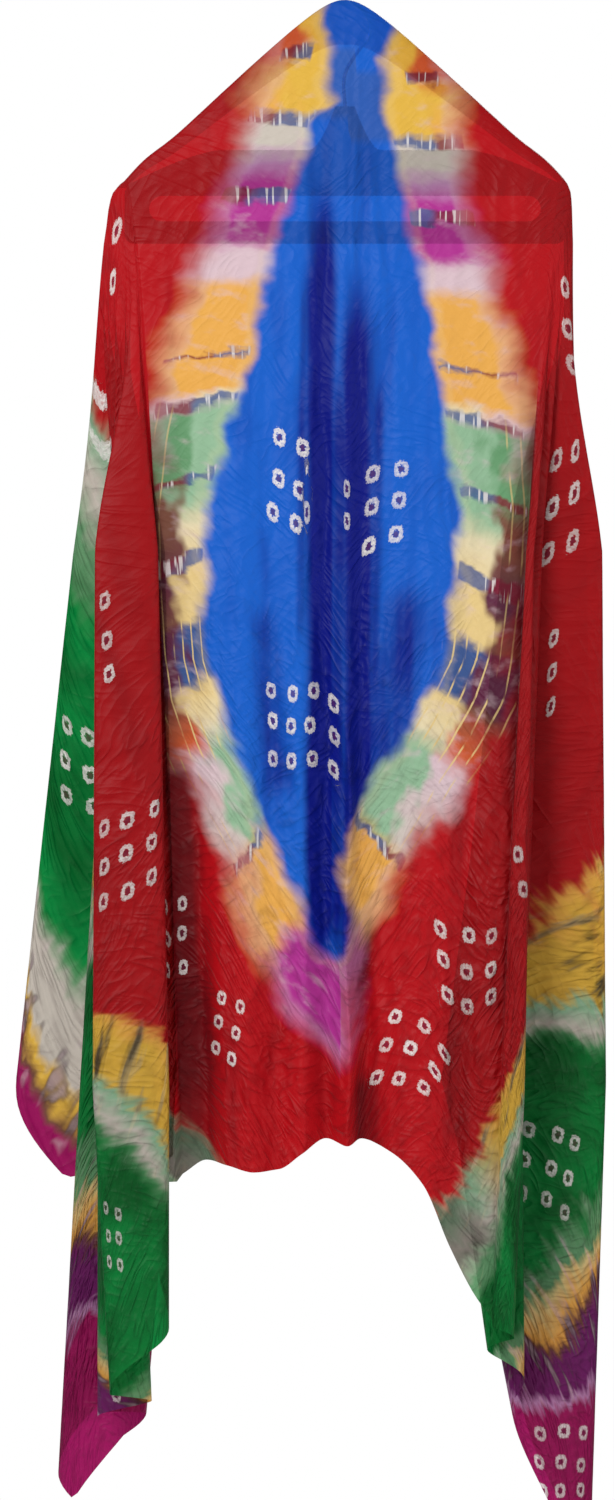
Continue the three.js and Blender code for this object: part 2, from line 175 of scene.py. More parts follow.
# How flat the cloth is between its folds, and how its folds, its gathers and the lift
# below the tips grow with depth.
TURN_ROUNDNESS = 2.4
FOLD_GROWTH = 1.25
GATHER_GROWTH = 0.6
LIFT_GROWTH = 0.8
# Mesh rows: on the flap and over the crest, how they widen, and those below the collar.
FLAP_ROWS = 6
FLAP_GROWTH = 1.6
EVEN_ROWS = 142

# The lozenge's edges on the front panel. drop: depth below the peak, others: X as hung.
LOZENGE_COLUMNS = ("drop", "left_outer", "left_inner", "right_inner", "right_outer")
LOZENGE = (
    (0, -64, -19, 47, 92),
    (22, -69, -24, 47, 97),
    (40, -72, -10, 44, 99),
    (57, -78, -13, 33, 102),
    (80, -86, -17, 38, 107),
    (99, -91, -11, 33, 109),
    (114, -94, -33, 38, 111),
    (150, -102, -37, 48, 116),
    (188, -120, -52, 56, 121),
    (230, -133, -62, 63, 128),
    (282, -150, -78, 77, 145),
    (338, -174, -88, 84, 163),
    (404, -185, -108, 94, 171),
    (480, -190, -131, 109, 174),
    (564, -185, -133, 102, 169),
    (620, -182, -130, 95, 162),
    (658, -179, -117, 75, 155),
    (696, -167, -103, 52, 136),
    (733, -151, -89, 28, 110),
    (771, -127, -84, 5, 87),
    (808, -108, -61, 2, 59),
    (846, -99, -44, 2, 39),
    (884, -89, -27, 2, 14),
    (907, -80, -7, -4, 7),
    (950, -50, -6, -4, 5),
    (996, -11, -6, -4, -2),
)

# Depth at which the lozenge itself ends; below it the band goes on.
LOZENGE_FOOT = 900.0

# How much lower each section of the band sits on the right than on the left.
SECTION_DROPS = (0, 235, 282, 410, 610, 696, 800, 1100)
SECTION_LOWER = (24, 21, 13, 18, 20, 5, -8, -8)
# How steeply the sections' edges run down, outwards from the lozenge.
SECTION_SLOPES = (0.0, 0.0, 0.05, 0.25, 0.4, 0.6, 0.8, 0.8)

# The band's sections, by drop. inner, outer: dyes beside the lozenge and the red ground.
SECTION_COLUMNS = ("drop", "inner", "outer")
SECTIONS = (
    (0, "ochre", "rust"),
    (52, "ochre", "rust"),
    (68, "ochre", "ochre"),
    (106, "ochre", "orange"),
    (117, "grey", "grey"),
    (134, "grey", "grey"),
    (154, "lilac", "lilac"),
    (172, "magenta", "magenta"),
    (222, "magenta", "magenta"),
    (238, "blush", "blush"),
    (257, "blush", "blush"),
    (272, "orange", "orange"),
    (366, "orange", "orange"),
    (376, "cream", "blush"),
    (390, "sage", "moss"),
    (448, "sage", "moss"),
    (470, "sage", "umber"),
    (500, "cream", "umber"),
    (545, "sand", "plum"),
    (586, "sand", "umber"),
    (594, "slate", "plum"),
    (643, "slate", "plum"),
    (654, "sand", "umber"),
    (690, "cream", "rust"),
    (712, "sage", "blush"),
    (788, "sage", "grey"),
    (808, "orange", "orange"),
    (872, "orange", "orange"),
    (892, "magenta", "magenta"),
    (968, "magenta", "magenta"),
    (992, "blush", "blush"),
)

# Rows of stitches that were drawn tight across the band: drop, and half their width.
STITCHES = ((51, 5), (112, 4), (185, 6), (335, 2), (382, 4), (453, 4), (531, 7), (800, 4))

# The ends' bands, by place across the cloth. first: run from the middle to the red
# ground's end, second: run to the end's magenta, pace: how fast the first bands change.
END_COLUMNS = ("across", "left_first", "right_first", "left_second", "right_second", "pace")
ENDS = (
    (0, 475, 475, 1050, 1070, 1.0),
    (90, 530, 530, 1085, 1072, 1.0),
    (200, 600, 600, 1115, 1075, 1.0),
    (400, 665, 665, 1090, 1060, 1.0),
    (530, 675, 675, 1060, 1045, 1.0),
    (665, 630, 630, 1045, 1010, 1.0),
    (740, 530, 520, 1040, 985, 1.1),
    (800, 425, 410, 1035, 965, 1.3),
    (930, 345, 265, 985, 920, 1.5),
    (1050, 285, 200, 800, 790, 1.6),
    (1118, 225, 150, 700, 700, 1.7),
)

# Groups of tied knots, as hung. x, drop: the middle; row_*: step along a row;
# line_*: step down a line; rows, lines: how many.
KNOT_COLUMNS = ("x", "drop", "row_x", "row_down", "line_x", "line_down", "rows", "lines")
KNOTS = (
    (-60, 450, 22, 12, -4, 34, 2, 3),
    (-32, 457, 12, 2, 0, 41, 1, 2),
    (0, 470, 12, 2, 0, 34, 1, 2),
    (33, 472, 26, -4, -3, 33, 2, 3),
    (-35, 679, 19, 1, -1, 32, 4, 3),
    (-223, 236, 14, -7, -4, 44, 1, 2),
    (-228, 420, 12, -8, 0, 54, 1, 3),
    (-228, 602, 12, -8, 0, 34, 1, 3),
    (217, 306, 14, 4, 3, 40, 1, 3),
    (212, 472, 19, -12, -4, 43, 2, 3),
    (197, 632, 16, -13, -2, 34, 1, 3),
    (158, 814, 18, 0, 2, 32, 1, 2),
    (109, 913, 22, 2, 1, 31, 3, 3),
    (55, 987, 22, 11, -9, 24, 3, 3),
    (-198, 796, 22, -9, -1, 33, 3, 3),
    (-155, 878, 16, -1, 1, 29, 2, 3),
    (-116, 963, 16, 8, -4, 25, 2, 3),
    (-257, 729, 24, 6, 0, 34, 2, 3),
    (196, 1105, 20, 8, -5, 30, 3, 3),
    (-219, 1152, 10, 3, 1, 25, 2, 3),
    (209, 1380, 20, -1, 0, 28, 3, 3),
    (-218, 1327, 14, 2, 0, 28, 1, 2),
)

# Creases that show on the front panel. From (x, drop) to (to_x, to_drop), as hung.
# half: half its width, height: how far it stands out, or in where below nothing.
CREASE_COLUMNS = ("x", "drop", "to_x", "to_drop", "half", "height")
CREASES = (
    (9, 20, 10, 300, 3, 1.4),
    (13, 20, 14, 420, 5, -1.2),
    (-31, 150, -28, 700, 5, 2.2),
    (-22, 170, -18, 900, 5, -2.5),
    (-40, 250, -34, 620, 6, -1.6),
    (27, 140, 24, 980, 6, 2.4),
    (38, 130, 34, 760, 7, -2.2),
    (49, 180, 44, 520, 6, 1.4),
    (2, 660, 1, 1075, 4, 4.5),
    (-4, 690, -3, 1075, 5, -3.5),
    (-120, 520, -78, 900, 9, 1.8),
    (-150, 300, -112, 760, 10, -1.8),
    (-60, 760, -96, 1080, 8, 2.2),
    (-48, 820, -74, 1090, 9, -2.2),
    (52, 760, 60, 1060, 8, 2.0),
    (70, 720, 84, 1080, 9, -2.0),
    (110, 420, 92, 860, 10, 1.8),
    (128, 380, 116, 980, 9, -1.8),
    (-105, 560, -40, 700, 5, 1.6),
    (-96, 610, -36, 760, 5, -1.4),
    (96, 600, 34, 730, 5, 1.6),
    (104, 650, 44, 800, 5, -1.4),
    (-120, 770, -50, 690, 5, 1.4),
    (-90, 940, -24, 850, 6, 1.8),
    (-70, 980, -18, 900, 6, -1.6),
    (-120, 1000, -60, 960, 6, 1.6),
    (34, 900, 120, 840, 6, 1.5),
    (40, 1010, 130, 960, 6, -1.5),
)

# Folds where painted shade darkens the dye, as the creases' table gives them. depth: 0 to 1.
FOLD_SHADE_COLUMNS = ("x", "drop", "to_x", "to_drop", "half", "depth")
FOLD_SHADES = (
    (-22, 150, -24, 950, 14, 0.95),
    (12, 230, 8, 1000, 16, 1.0),
    (-4, 300, -6, 940, 9, 0.75),
    (30, 330, 26, 760, 7, 0.5),
    (-37, 240, -42, 640, 5, 0.4),
    (-80, 560, -60, 760, 14, 0.35),
    (60, 540, 36, 760, 24, 0.5),
    (-178, 330, -150, 1140, 21, 1.0),
    (174, 330, 160, 1180, 15, 0.9),
    (-130, 830, -110, 1150, 16, 0.35),
    (20, 1000, 20, 1150, 16, 0.4),
    (110, 700, 100, 1120, 14, 0.25),
)

# The steps in which the crest is measured, and the least slope that a hang line has.
CREST_STEPS = 64
LEAST_SLOPE = 0.01
# Parts of the cloth. The folds below a tip go by its side, -1 or 1.
FRONT, FLAP = 0, 2
# Marks off the front panel: past the lozenge, past the band, share and section.
OFF_PANEL = (300.0, 300.0, 3.0, 0.0)

# Groups of knots: how far one reaches in the cloth, how much of it shows how the cloth
# hangs there, how close to its middle it starts, and what tells groups apart.
KNOT_REACH = 95.0
KNOT_NEAR = 34.0
KNOT_START = KNOT_NEAR / 6
KNOT_GROUP = 10

# Creases: length over which an end fades, and of one of their waves.
CREASE_FADE = 45.0
CREASE_WAVE = 37.0
# Bands of painted fold shade: how fast an end fades, and how square their sides are.
FOLD_SHADE_FADE = 6
FOLD_SHADE_SQUARE = 3
# Hollows, which the silk paints as shade: columns to either side that are looked at, and the
# depth that counts as full.
HOLLOW_REACH = 9
HOLLOW_DEPTH = 5.0
CREASE_DEPTH = 6
# Below this drop the creases stand out in full.
CREST_CALM = 60

# Crinkles in the mesh: repeats per metre along and across the cloth, how far the bend
# moves them each way, and the layer of the noise that they read.
CRINKLES = {
    "bend": (7, 7, 0, 0, 3.0),
    "sharp": (30, 22, 40, 0, 7.0),
    "small": (55, 62, 0, 60, 11.0),
    "sway": (13, 2.2, 0, 0, 17.0),
}
BEND_REACH = 0.03
CRINKLE_STEEPNESS = 3
CRINKLE_FLOOR = -0.4
SMALL_SHARE = 0.4
ROUGH_AT_CREST, ROUGH_GAIN = 0.45, 0.75
SWAY_HEIGHT = 3.0

# Noises in the materials: repeats per metre, or those along, across and through the
# cloth, finer layers, and how far the grain is turned, in radians.
NOISES = {
    "section_edge": ((34, 60, 1), 3),
    "blots": ((30, 22, 1), 2),
    "loose_threads": ((230, 14, 1), 1),
    "wavy_lines": ((20, 9, 1), 2),
    "broken_lines": ((60, 22, 1), 2),
    "wide": (11, 3),
    "spiky": ((17, 80, 1), 2, 0.3),
    "drawn": ((70, 13, 1), 3, 0.5),
    "knot_edge": (420, 1),
    "soft": (19, 2),
    "spikes": ((50, 120, 1), 1),
    "clouds": (9, 2),
    "runs": ((46, 4, 1), 2),
    "slant": ((96, 26, 1), 1, 0.8),
    "cross": ((88, 22, 1), 1, -1.0),
    "plastic_grain": (900, 2),
    "plastic_wear": (22, 3),
    "wire_grain": ((900, 900, 60), 2),
    "wire_spots": (140, 3),
}
FACETS = ((84, 50, 1), 0.6)

# How much each noise or mark counts where it is added to something.
WEIGHTS = {
    "section_edge": 0.026,
    "blots": 1.1,
    "wavy_lines": 0.5,
    "end_wide": 0.1,
    "end_spiky": 0.07,
    "soot_gap": -0.6,
    "inner_soft": 0.036,
    "inner_spikes": 0.004,
    "outer_soft": -0.05,
    "outer_spikes": 0.007,
    "stained_soft": -0.03,
    "deep_clouds": 0.7,
    "deep_runs": 0.9,
    # Painted shade in the front panel's hollows
    "hollow_shade": 0.22,
    "knot_edge": 0.17,
    "knot_aside": 0.22,
    "knot_below": 0.2,
    "knot_bright": 0.28,
    "knot_patchy": 1.3,
    "slant": 0.7,
    "cross": 0.6,
    "facets": 0.75,
    "towards_end": 0.55,
    # Painted shade along the crease lines and the shaded folds
    "crease_line_shade": 0.3,
    "fold_shade": 0.25,
    "silk_rough": 0.25,
    "worn_rough": 0.3,
}

# Masks, by what they show. Two numbers: 0 at the first and 1 at the second, which may be
# the smaller one. Three: 1 between the first two, and fading to 0 over the third.
MASKS = {
    # Across the band, 0 at the lozenge and 1 at the ground
    "outward": (0.36, 0.62),
    "stitched": (0.04, 0.94, 0.03),
    "crest_stitches": (0.32, 0.72, 0.05),
    "rim_lines": (0.72, 1.0, 0.05),
    # Down the band
    "near_crest": (0.08, 0.07),
    "low_lines": (0.592, 0.7, 0.02),
    "rim_length": (0.4, 0.78, 0.04),
    "stained": (0.44, 0.76, 0.03),
    # Out from the band's edge or the lozenge's
    "ground": (-0.024, 0.018),
    "past_lozenge": (-0.008, 0.008),
    # Across the cloth
    "low": (0.56, 0.93, 0.1),
    "streaked": (0.4, 0.6),
    "hem": (1.02, 1.07),
    "rich": (0.42, 0.62),
    "creased_hem": (0.3, 0.95),
    # Past the ground's end
    "pulled": (-0.02, 0.12, 0.02),
    "sooty": (-0.01, 0.075, 0.02),
    "green": (0.12, 0.17),
    "end": (-0.03, -0.002),
    "creased_end": (-0.08, 0.02),
    # Past the second band
    "beyond": (-0.14, -0.11),
    # Of a noise, or of what noises make
    "unbroken": (-0.12, 0.02),
    "deep_green": (-0.2, 0.2),
    "charred_spikes": (0.02, 0.14),
    "dusty_spikes": (0.05, 0.22),
    "deep_blue": (-0.15, 0.85),
    "deep_red": (-0.1, 0.9),
    "crease_patch": (-0.16, 0.16),
    # Where the creases lay painted shade
    "crease_line_shade": (0.5, 1.2),
    "plastic_wear": (-0.2, 0.3),
    "wire_spots": (0.0, 0.3),
    # In a group of knots, and out from the middle of one
    "knot": (0.0, 0.06),
    "ring": (0.13, 0.24, 0.03),
    "pucker": (0.4, 0.0),
}

# Stains over the dye: their colour, how strong they are, and their mask.
STAINS = {
    "bleached": ("blush", 0.4, (0.02, 0.26)),
    "loose": ("thread", 0.8, (0.06, 0.12)),
    "line": ("sand", 0.9, (0.42, 0.5, 0.06)),
    "pale_streaks": ("cream", 0.6, (0.04, 0.2)),
    "soot_streaks": ("soot", 0.9, (0.0, 0.24)),
    "hem_stain": ("soot", 0.7, (0.0, 0.07, 0.03)),
    "charred": ("soot", 0.7, (-0.035, 0.015, 0.02)),
    "dusty": ("blush", 0.45, (-0.1, 0.05, 0.02)),
    "knot_middle": ("plum", 0.6, (0.12, 0.07)),
    "washed": ("slate", 0.45, (0.052, 0.106, 0.012)),
    "halo": ("blush", 0.25, (-0.014, 0.004, 0.01)),
    "rim": ("cream", 0.12, (0.0, 0.008, 0.007)),
}
# The band: the drop that its colours span, in metres, the fade of a stitch row, in
# millimetres, how strong the rows are, and the undyed lines: how many, and how strong.
BAND_SPAN = (0.0, 1.1)
STITCH_EDGE = 1
STITCH_STRENGTH = 0.85
LINES_IN_BAND = 6.0
RIM_LINE_STRENGTH = 0.6

# The ends' bands, in metres past the ground's end or the second band, and their spans.
FIRST_SPAN = (-0.05, 0.25)
SECOND_SPAN = (-0.15, 0.3)
END_BANDS = {
    "pale": ((-0.04, "red"), (0.005, "sage"), (0.06, "grey"), (0.11, "moss")),
    "streaked": ((-0.03, "rust"), (-0.01, "orange"), (0.02, "ochre"), (0.07, "ochre"))
    + ((0.09, "sage"), (0.12, "grey"), (0.145, "moss")),
    "faded": ((-0.12, "moss"), (-0.09, "grey"), (-0.03, "grey"), (-0.01, "ochre"))
    + ((0.015, "umber"), (0.035, "berry")),
    "rich": ((-0.1, "moss"), (-0.08, "sand"), (-0.055, "orange"), (-0.04, "umber"))
    + ((-0.025, "violet"), (0.03, "violet"), (0.048, "lilac"), (0.07, "berry")),
}

# Knots: how square their rings are, how much flatter than wide, and how bright at least.
KNOT_SQUARE = 2.8
KNOT_FLATNESS = 1.05
KNOT_BRIGHT = 0.72
KNOT_PATCHY = 0.8

# Creases in the silk: their ridges' shape, their sway, how strong they are and the painted
# shade that they lay on the dye. Then its roughness, its tint where light passes, its weave
# and its gloss.
RIDGE_STEEPNESS = 5.0
RIDGE_SHARPNESS = 2.0
SWAY_SCALE, SWAY_REACH = 14, 0.03
CROSS_WHOLE = 1.1
CREASES_AT_CREST = 0.45
CREASE_SHADE = (0.35, 0.3, 0.32, 1)
SILK_ROUGH = 0.5
SHEER_TINT = 0.9
THREAD_WAVES = {"Scale": 330, "Distortion": 1.5, "Detail": 0}
SILK_GLOSS = {"Sheen Weight": 0.04, "Sheen Roughness": 0.4, "Specular IOR Level": 0.2}
SILK_BUMP = (0.9, 1.0)

# The hanger's finishes: noises of the grain and the wear, the new colour and the worn one,
# roughness, metal or not, and the strength and depth of the bump.
HANGER_FINISHES = {
    "hanger_body": (
        "hanger_plastic",
        "plastic_grain",
        "plastic_wear",
        (0.012, 0.012, 0.014, 1),
        (0.03, 0.03, 0.034, 1),
        0.45,
        0,
        (0.2, 0.0003),
    ),
    "hanger_hook": (
        "hook_wire",
        "wire_grain",
        "wire_spots",
        (0.52, 0.53, 0.55, 1),
        (0.4, 0.4, 0.41, 1),
        0.32,
        1,
        (0.15, 0.0002),
    ),
}

# The stage. Lights: name, place, height that they face, width and power.
LIGHTS = (
    ("key", (-1.5, -2.4, 0.7), -0.7, 1.3, 62),
    ("fill", (2.2, -2.0, -0.3), -0.8, 1.6, 20),
    ("rear", (0.6, 2.6, 0.9), -0.7, 1.6, 40),
)
SURROUND_LIGHT = 0.36
WHITE = (1, 1, 1, 1)
FLOOR_SIDES = 128
FLOOR_COLOUR = (0.86, 0.86, 0.85, 1)
FLOOR_ROUGH = 0.9
CAMERA_X, CAMERA_Z = -0.03525, -0.7008
CAMERA_SENSOR, CAMERA_LENS = 36, 127.7


def column(table, names, name):
    """One named column of a table, as numbers."""
    return np.array([row[names.index(name)] for row in table], float)


def beside(*columns):
    """Columns of numbers side by side, as rows."""
    return np.stack(columns, axis=-1)


def entries(table, names):
    """A table's rows, each with its values by column."""
    return [dict(zip(names, row)) for row in table]


def mix(start, end, share):
    return start + (end - start) * share


def ease(share):
    return (1 - np.cos(np.pi * share)) / 2


def smooth_curve(at, keys, values):
    """A curve through the rows of a table, level at each high or low one."""
    steps = np.diff(keys)
    slopes = np.diff(values) / steps
    before, after = slopes[:-1], slopes[1:]
    agree = before * after > 0
    total = np.where(agree, before + after, 1.0)
    ends = np.zeros(len(keys))
    ends[1:-1] = np.where(agree, 2 * before * after / total, 0.0)
    ends[0], ends[-1] = slopes[0], slopes[-1]
    row = np.clip(np.searchsorted(keys, at, side="right") - 1, 0, len(keys) - 2)
    t = np.clip((at - keys[row]) / steps[row], 0, 1)
    rise = values[row + 1] - values[row]
    bend = steps[row] * (ends[row] * (1 - t) - ends[row + 1] * t)
    return values[row] + rise * t * t * (3 - 2 * t) + t * (1 - t) * bend


def read(table, names, at, curve=np.interp):
    """The other columns of a table, at places in its first one."""
    keys = column(table, names, names[0])
    return {name: curve(at, keys, column(table, names, name)) for name in names[1:]}


def crest_z(x):
    rounded = SHOULDER_RISE * np.exp(-(((np.abs(x) - SHOULDER_X) / SHOULDER_REACH) ** 2))
    return PEAK_Z - CREST_SLOPE * (np.hypot(x, CREST_ROUNDING) - CREST_ROUNDING) + rounded


def crest_run(x):
    """Length of the crest from its peak to a place."""
    places = np.linspace(0, x, CREST_STEPS + 1)
    return float(np.hypot(np.diff(places), np.diff(crest_z(places))).sum())


TIP_Z = float(crest_z(TIP_X))
TIP_RUN = crest_run(TIP_X)
EDGE_RUN = CLOTH_LENGTH / 2 - TIP_RUN
FRONT_DROP = CLOTH_WIDTH - FLAP_AT_TIP


def row_depths(fall):
    """Depths of the rows on a hang line, close together over the crest."""
    ring = RING_DEPTH * (np.arange(FLAP_ROWS + 1) / FLAP_ROWS) ** FLAP_GROWTH
    even = mix(COLLAR_DEPTH, fall, np.arange(1, EVEN_ROWS + 1) / EVEN_ROWS)
    return np.concatenate([ring, COLLAR_ROWS, even])


def turn_out(depth):
    """How far the cloth stands out from the crest as it turns down."""
    return np.interp(depth, TURN_DOWN, TURN_OUT)


def front_line(along):
    """Fall and points of the front panel's hang line at a place along the crest."""
    x = along / TIP_RUN * TIP_X
    z = float(crest_z(x))
    key = np.array(along / TIP_RUN * FRONT_LINES[-1][0])
    line = read(FRONT_LINES, FRONT_COLUMNS, key, smooth_curve)
    foot, lift = line["foot"], line["lift"]
    fall = z - (PEAK_Z - float(line["hem"]))

    def place(depth):
        share = depth / fall
        across = mix(x, foot, share**GATHER_GROWTH)
        out = mix(-turn_out(depth), lift, share**FOLD_GROWTH)
        return beside(across, out, z - depth)

    return fall, place


def fold_at(folds, row, share):
    """The cloth between two folds: it turns at each and is flattest between."""
    start, end = entries(folds[row : row + 2], FOLD_COLUMNS)
    across = float(ease(share))
    spot = {name: mix(start[name], end[name], across) for name in ("waist", "knee", "foot")}
    spot["angle"] = mix(start["angle"], end["angle"], share)
    last = folds[row - 1][FOLD_COLUMNS.index("lift")] if row > 0 else start["lift"]
    nearest = last if share < 0.5 else end["lift"]
    turned = abs(2 * share - 1) ** TURN_ROUNDNESS
    spot["lift"] = mix(start["lift"], (nearest + start["lift"]) / 2, turned)
    return spot


def flat_reach(angle):
    """Flat length from the tip to the cloth's edge in one direction."""
    turned = math.radians(angle)
    to_hem = FRONT_DROP / max(math.sin(turned), LEAST_SLOPE)
    to_end = EDGE_RUN / max(math.cos(turned), LEAST_SLOPE)
    return min(to_hem, to_end)


def corner_line(side, fold, front):
    """Fall and points of a hang line below a tip."""
    shares = LEFT_FALL if side < 0 else RIGHT_FALL
    bulge = LEFT_BULGE if side < 0 else RIGHT_BULGE
    fall = flat_reach(fold["angle"]) * float(np.interp(fold["angle"], *zip(*shares)))
    around = 1 - fold["angle"] / 90
    turn = around / 2 if side < 0 else around
    front_fall, front_place = front

    def collar_spot(depth):
        start = front_place(np.minimum(depth, front_fall))
        out = np.interp(depth, BULGE_DEPTHS, bulge) * math.sin(math.pi * turn)
        back = np.minimum(COLLAR_BACK_LIFT, turn_out(depth))
        inwards = mix(TIP_X - side * start[:, 0], 0, around) - out
        return inwards, mix(start[:, 1], back, around)

    def opened_spot(depth):
        spread = np.minimum(depth, KNEE_DEPTH) / KNEE_DEPTH
        beyond = np.maximum(0, depth - KNEE_DEPTH) / KNEE_DEPTH
        lift = fold["lift"] * (spread**LIFT_GROWTH + BELOW_KNEE_SPREAD * beyond)
        slope = (fold["foot"] - fold["knee"]) / (FOOT_DEPTH - KNEE_DEPTH)
        below = fold["knee"] + slope * (depth - KNEE_DEPTH)
        known = (0, WAIST_DEPTH, KNEE_DEPTH)
        above = np.interp(depth, known, (0, fold["waist"], fold["knee"]))
        return np.where(depth > KNEE_DEPTH, below, above), lift

    def place(depth):
        reached = (depth - COLLAR_DEPTH) / (WAIST_DEPTH - COLLAR_DEPTH)
        blend = ease(np.clip(reached, 0, 1))
        collar, opened = collar_spot(depth), opened_spot(depth)
        inwards = mix(collar[0], opened[0], blend)
        lift = mix(collar[1], opened[1], np.sqrt(blend))
        return beside(side * (TIP_X - inwards), lift, TIP_Z - depth)

    return fall, place


class Cloth:
    """The dupatta's middle surface: points as hung, their place in the flat cloth, faces."""

    def __init__(self):
        self.hung = []
        self.flat = []
        self.part = []
        self.faces = []

    def add(self, hung, flat, part):
        """Adds a row of points and gives their numbers."""
        first = len(self.hung)
        self.hung.extend(map(tuple, hung))
        self.flat.extend(map(tuple, flat))
        self.part.extend([part] * len(hung))
        return list(range(first, len(self.hung)))

    def join(self, left, right):
        """Fills the strip between two rows of points."""
        for row in range(1, min(len(left), len(right))):
            corners = [left[row - 1], left[row], right[row], right[row - 1]]
            face = list(dict.fromkeys(corners))
            if len(face) > 2:
                self.faces.append(face)


def build_front(cloth):
    """The front panel and the narrow flap behind the crest."""
    front, flap, lines = [], [], []
    for share in np.linspace(0, 1, FRONT_COUNT + 1):
        along = float(mix(-TIP_RUN, TIP_RUN, share))
        flap_width = mix(FLAP_AT_PEAK, FLAP_AT_TIP, abs(2 * share - 1))
        line = front_line(along)
        fall, place = line
        depths = row_depths(fall)
        w = mix(flap_width, CLOTH_WIDTH, depths / fall)
        flat = beside(np.full_like(w, along), w)
        ids = cloth.add(place(depths), flat, FRONT)
        x = along / TIP_RUN * TIP_X
        back = (np.arange(1, FLAP_ROWS + 1) / FLAP_ROWS) ** FLAP_GROWTH
        down = back * (flap_width - FLAP_FLAT_OF_RING + RING_DEPTH)
        z = float(crest_z(x)) - down
        hung = beside(np.full_like(down, x), turn_out(down), z)
        flat = beside(np.full_like(down, along), flap_width * (1 - back))
        flap.append([ids[0]] + cloth.add(hung, flat, FLAP))
        front.append(ids)
        lines.append(line)
    for row in range(1, len(front)):
        cloth.join(front[row - 1], front[row])
        cloth.join(flap[row], flap[row - 1])
    return front, flap, lines


def build_corner(cloth, side, folds, front, flap, line):
    """The folds below one tip, from the front panel round to the upper edge."""

    def sew(last, new):
        cloth.join(*((new, last) if side < 0 else (last, new)))

    previous = front
    for row in range(len(folds) - 1):
        count = folds[row][FOLD_COLUMNS.index("count")]
        for step in range(1, count + 1):
            fold = fold_at(folds, row, step / count)
            fall, place = corner_line(side, fold, line)
            depths = row_depths(fall)
            reach = flat_reach(fold["angle"]) * depths / fall
            turned = math.radians(fold["angle"])
            u = side * (TIP_RUN + reach * math.cos(turned))
            w = FLAP_AT_TIP + reach * math.sin(turned)
            flat = beside(u, w)
            ids = [front[0]] + cloth.add(place(depths)[1:], flat[1:], side)
            sew(previous, ids)
            previous = ids
    sew(previous[: FLAP_ROWS + 1], flap)


def make_cloth():
    cloth = Cloth()
    front, flap, lines = build_front(cloth)
    build_corner(cloth, -1, LEFT_FOLDS, front[0], flap[0], lines[0])
    build_corner(cloth, 1, RIGHT_FOLDS, front[-1], flap[-1], lines[-1])
    return cloth, front


def hung_drop(hung):
    return PEAK_Z - hung[:, 2]


def dye_place(flat):
    """Where each point lies in the cloth, counted down from the crest it hangs from."""
    along = np.clip(flat[:, 0], -TIP_RUN, TIP_RUN)
    x = along / TIP_RUN * TIP_X
    flap = mix(FLAP_AT_PEAK, FLAP_AT_TIP, np.abs(along) / TIP_RUN)
    down = PEAK_Z - crest_z(x) + flat[:, 1] - flap
    return beside(x + flat[:, 0] - along, down)


def lozenge_marks(hung, on_front):
    """Distances past the lozenge's edge and the band's, share across the band, section."""
    drop = hung_drop(hung)
    x = hung[:, 0]
    edge = read(LOZENGE, LOZENGE_COLUMNS, drop)
    left = x < (edge["left_inner"] + edge["right_inner"]) / 2
    inner = np.where(left, edge["left_inner"] - x, x - edge["right_inner"])
    outer = np.where(left, edge["left_outer"] - x, x - edge["right_outer"])
    outer = outer + np.maximum(drop - LOZENGE[-1][0], 0)
    inner = inner + np.maximum(drop - LOZENGE_FOOT, 0)
    share = inner / np.maximum(inner - outer, 1.0)
    lower = np.interp(drop, SECTION_DROPS, SECTION_LOWER)
    slope = np.interp(drop, SECTION_DROPS, SECTION_SLOPES)
    section = drop - np.where(left, 0, lower) - slope * (share - 0.5) * (inner - outer)
    marks = beside(inner, outer, share, section)
    marks[~on_front] = OFF_PANEL
    return marks


def end_marks(flat):
    """Distances past the red ground's end and past the second band, towards the ends."""
    at = read(ENDS, END_COLUMNS, flat[:, 1], smooth_curve)
    run, on_left = np.abs(flat[:, 0]), flat[:, 0] < 0
    first = run - np.where(on_left, at["left_first"], at["right_first"])
    second = run - np.where(on_left, at["left_second"], at["right_second"])
    return beside(first * at["pace"], second)


def knot_marks(hung, flat):
    """Each point's place in the nearest group of knots: row, line and depth inside it."""
    marks = np.zeros((len(hung), 3))
    marks[:, 2] = -1
    seen = beside(hung[:, 0], hung_drop(hung))
    for index, spot in enumerate(entries(KNOTS, KNOT_COLUMNS)):
        aside = np.hypot(*(seen - (spot["x"], spot["drop"])).T)
        near = np.where(aside < aside.min() + KNOT_START)[0]
        seed = near[np.argmin(hung[near, 1])]
        offset = flat - flat[seed]
        away = np.hypot(*offset.T)
        around = away < KNOT_NEAR
        moved = (seen - seen[seed])[around]
        spread, *_ = np.linalg.lstsq(offset[around], moved, rcond=None)
        row_step = (spot["row_x"], spot["row_down"])
        line_step = (spot["line_x"], spot["line_down"])
        place = offset @ spread @ np.linalg.inv(np.array([row_step, line_step], float))
        count = np.array([spot["rows"], spot["lines"]])
        place += (count - 1) / 2
        inside = np.minimum(place + 0.5, count - 0.5 - place).min(axis=1)
        mine = (away < KNOT_REACH) & (inside > marks[:, 2])
        place[:, 0] += KNOT_GROUP * index
        marks[mine, :2] = place[mine]
        marks[mine, 2] = inside[mine]
    return marks


def painted_fold_shade(hung):
    """How much painted shade lies along the front panel's middle folds, 0 to 1."""
    drop = hung_drop(hung)
    mottle_and_shade = np.zeros(len(hung))
    for shaded_fold in entries(FOLD_SHADES, FOLD_SHADE_COLUMNS):
        run = (drop - shaded_fold["drop"]) / (shaded_fold["to_drop"] - shaded_fold["drop"])
        middle = mix(shaded_fold["x"], shaded_fold["to_x"], np.clip(run, 0, 1))
        fade = ease(np.clip(np.minimum(run, 1 - run) * FOLD_SHADE_FADE, 0, 1))
        aside = np.abs(hung[:, 0] - middle) / shaded_fold["half"]
        mottle_and_shade = np.maximum(mottle_and_shade, shaded_fold["depth"] * fade * np.exp(-(aside**FOLD_SHADE_SQUARE)))
    return mottle_and_shade


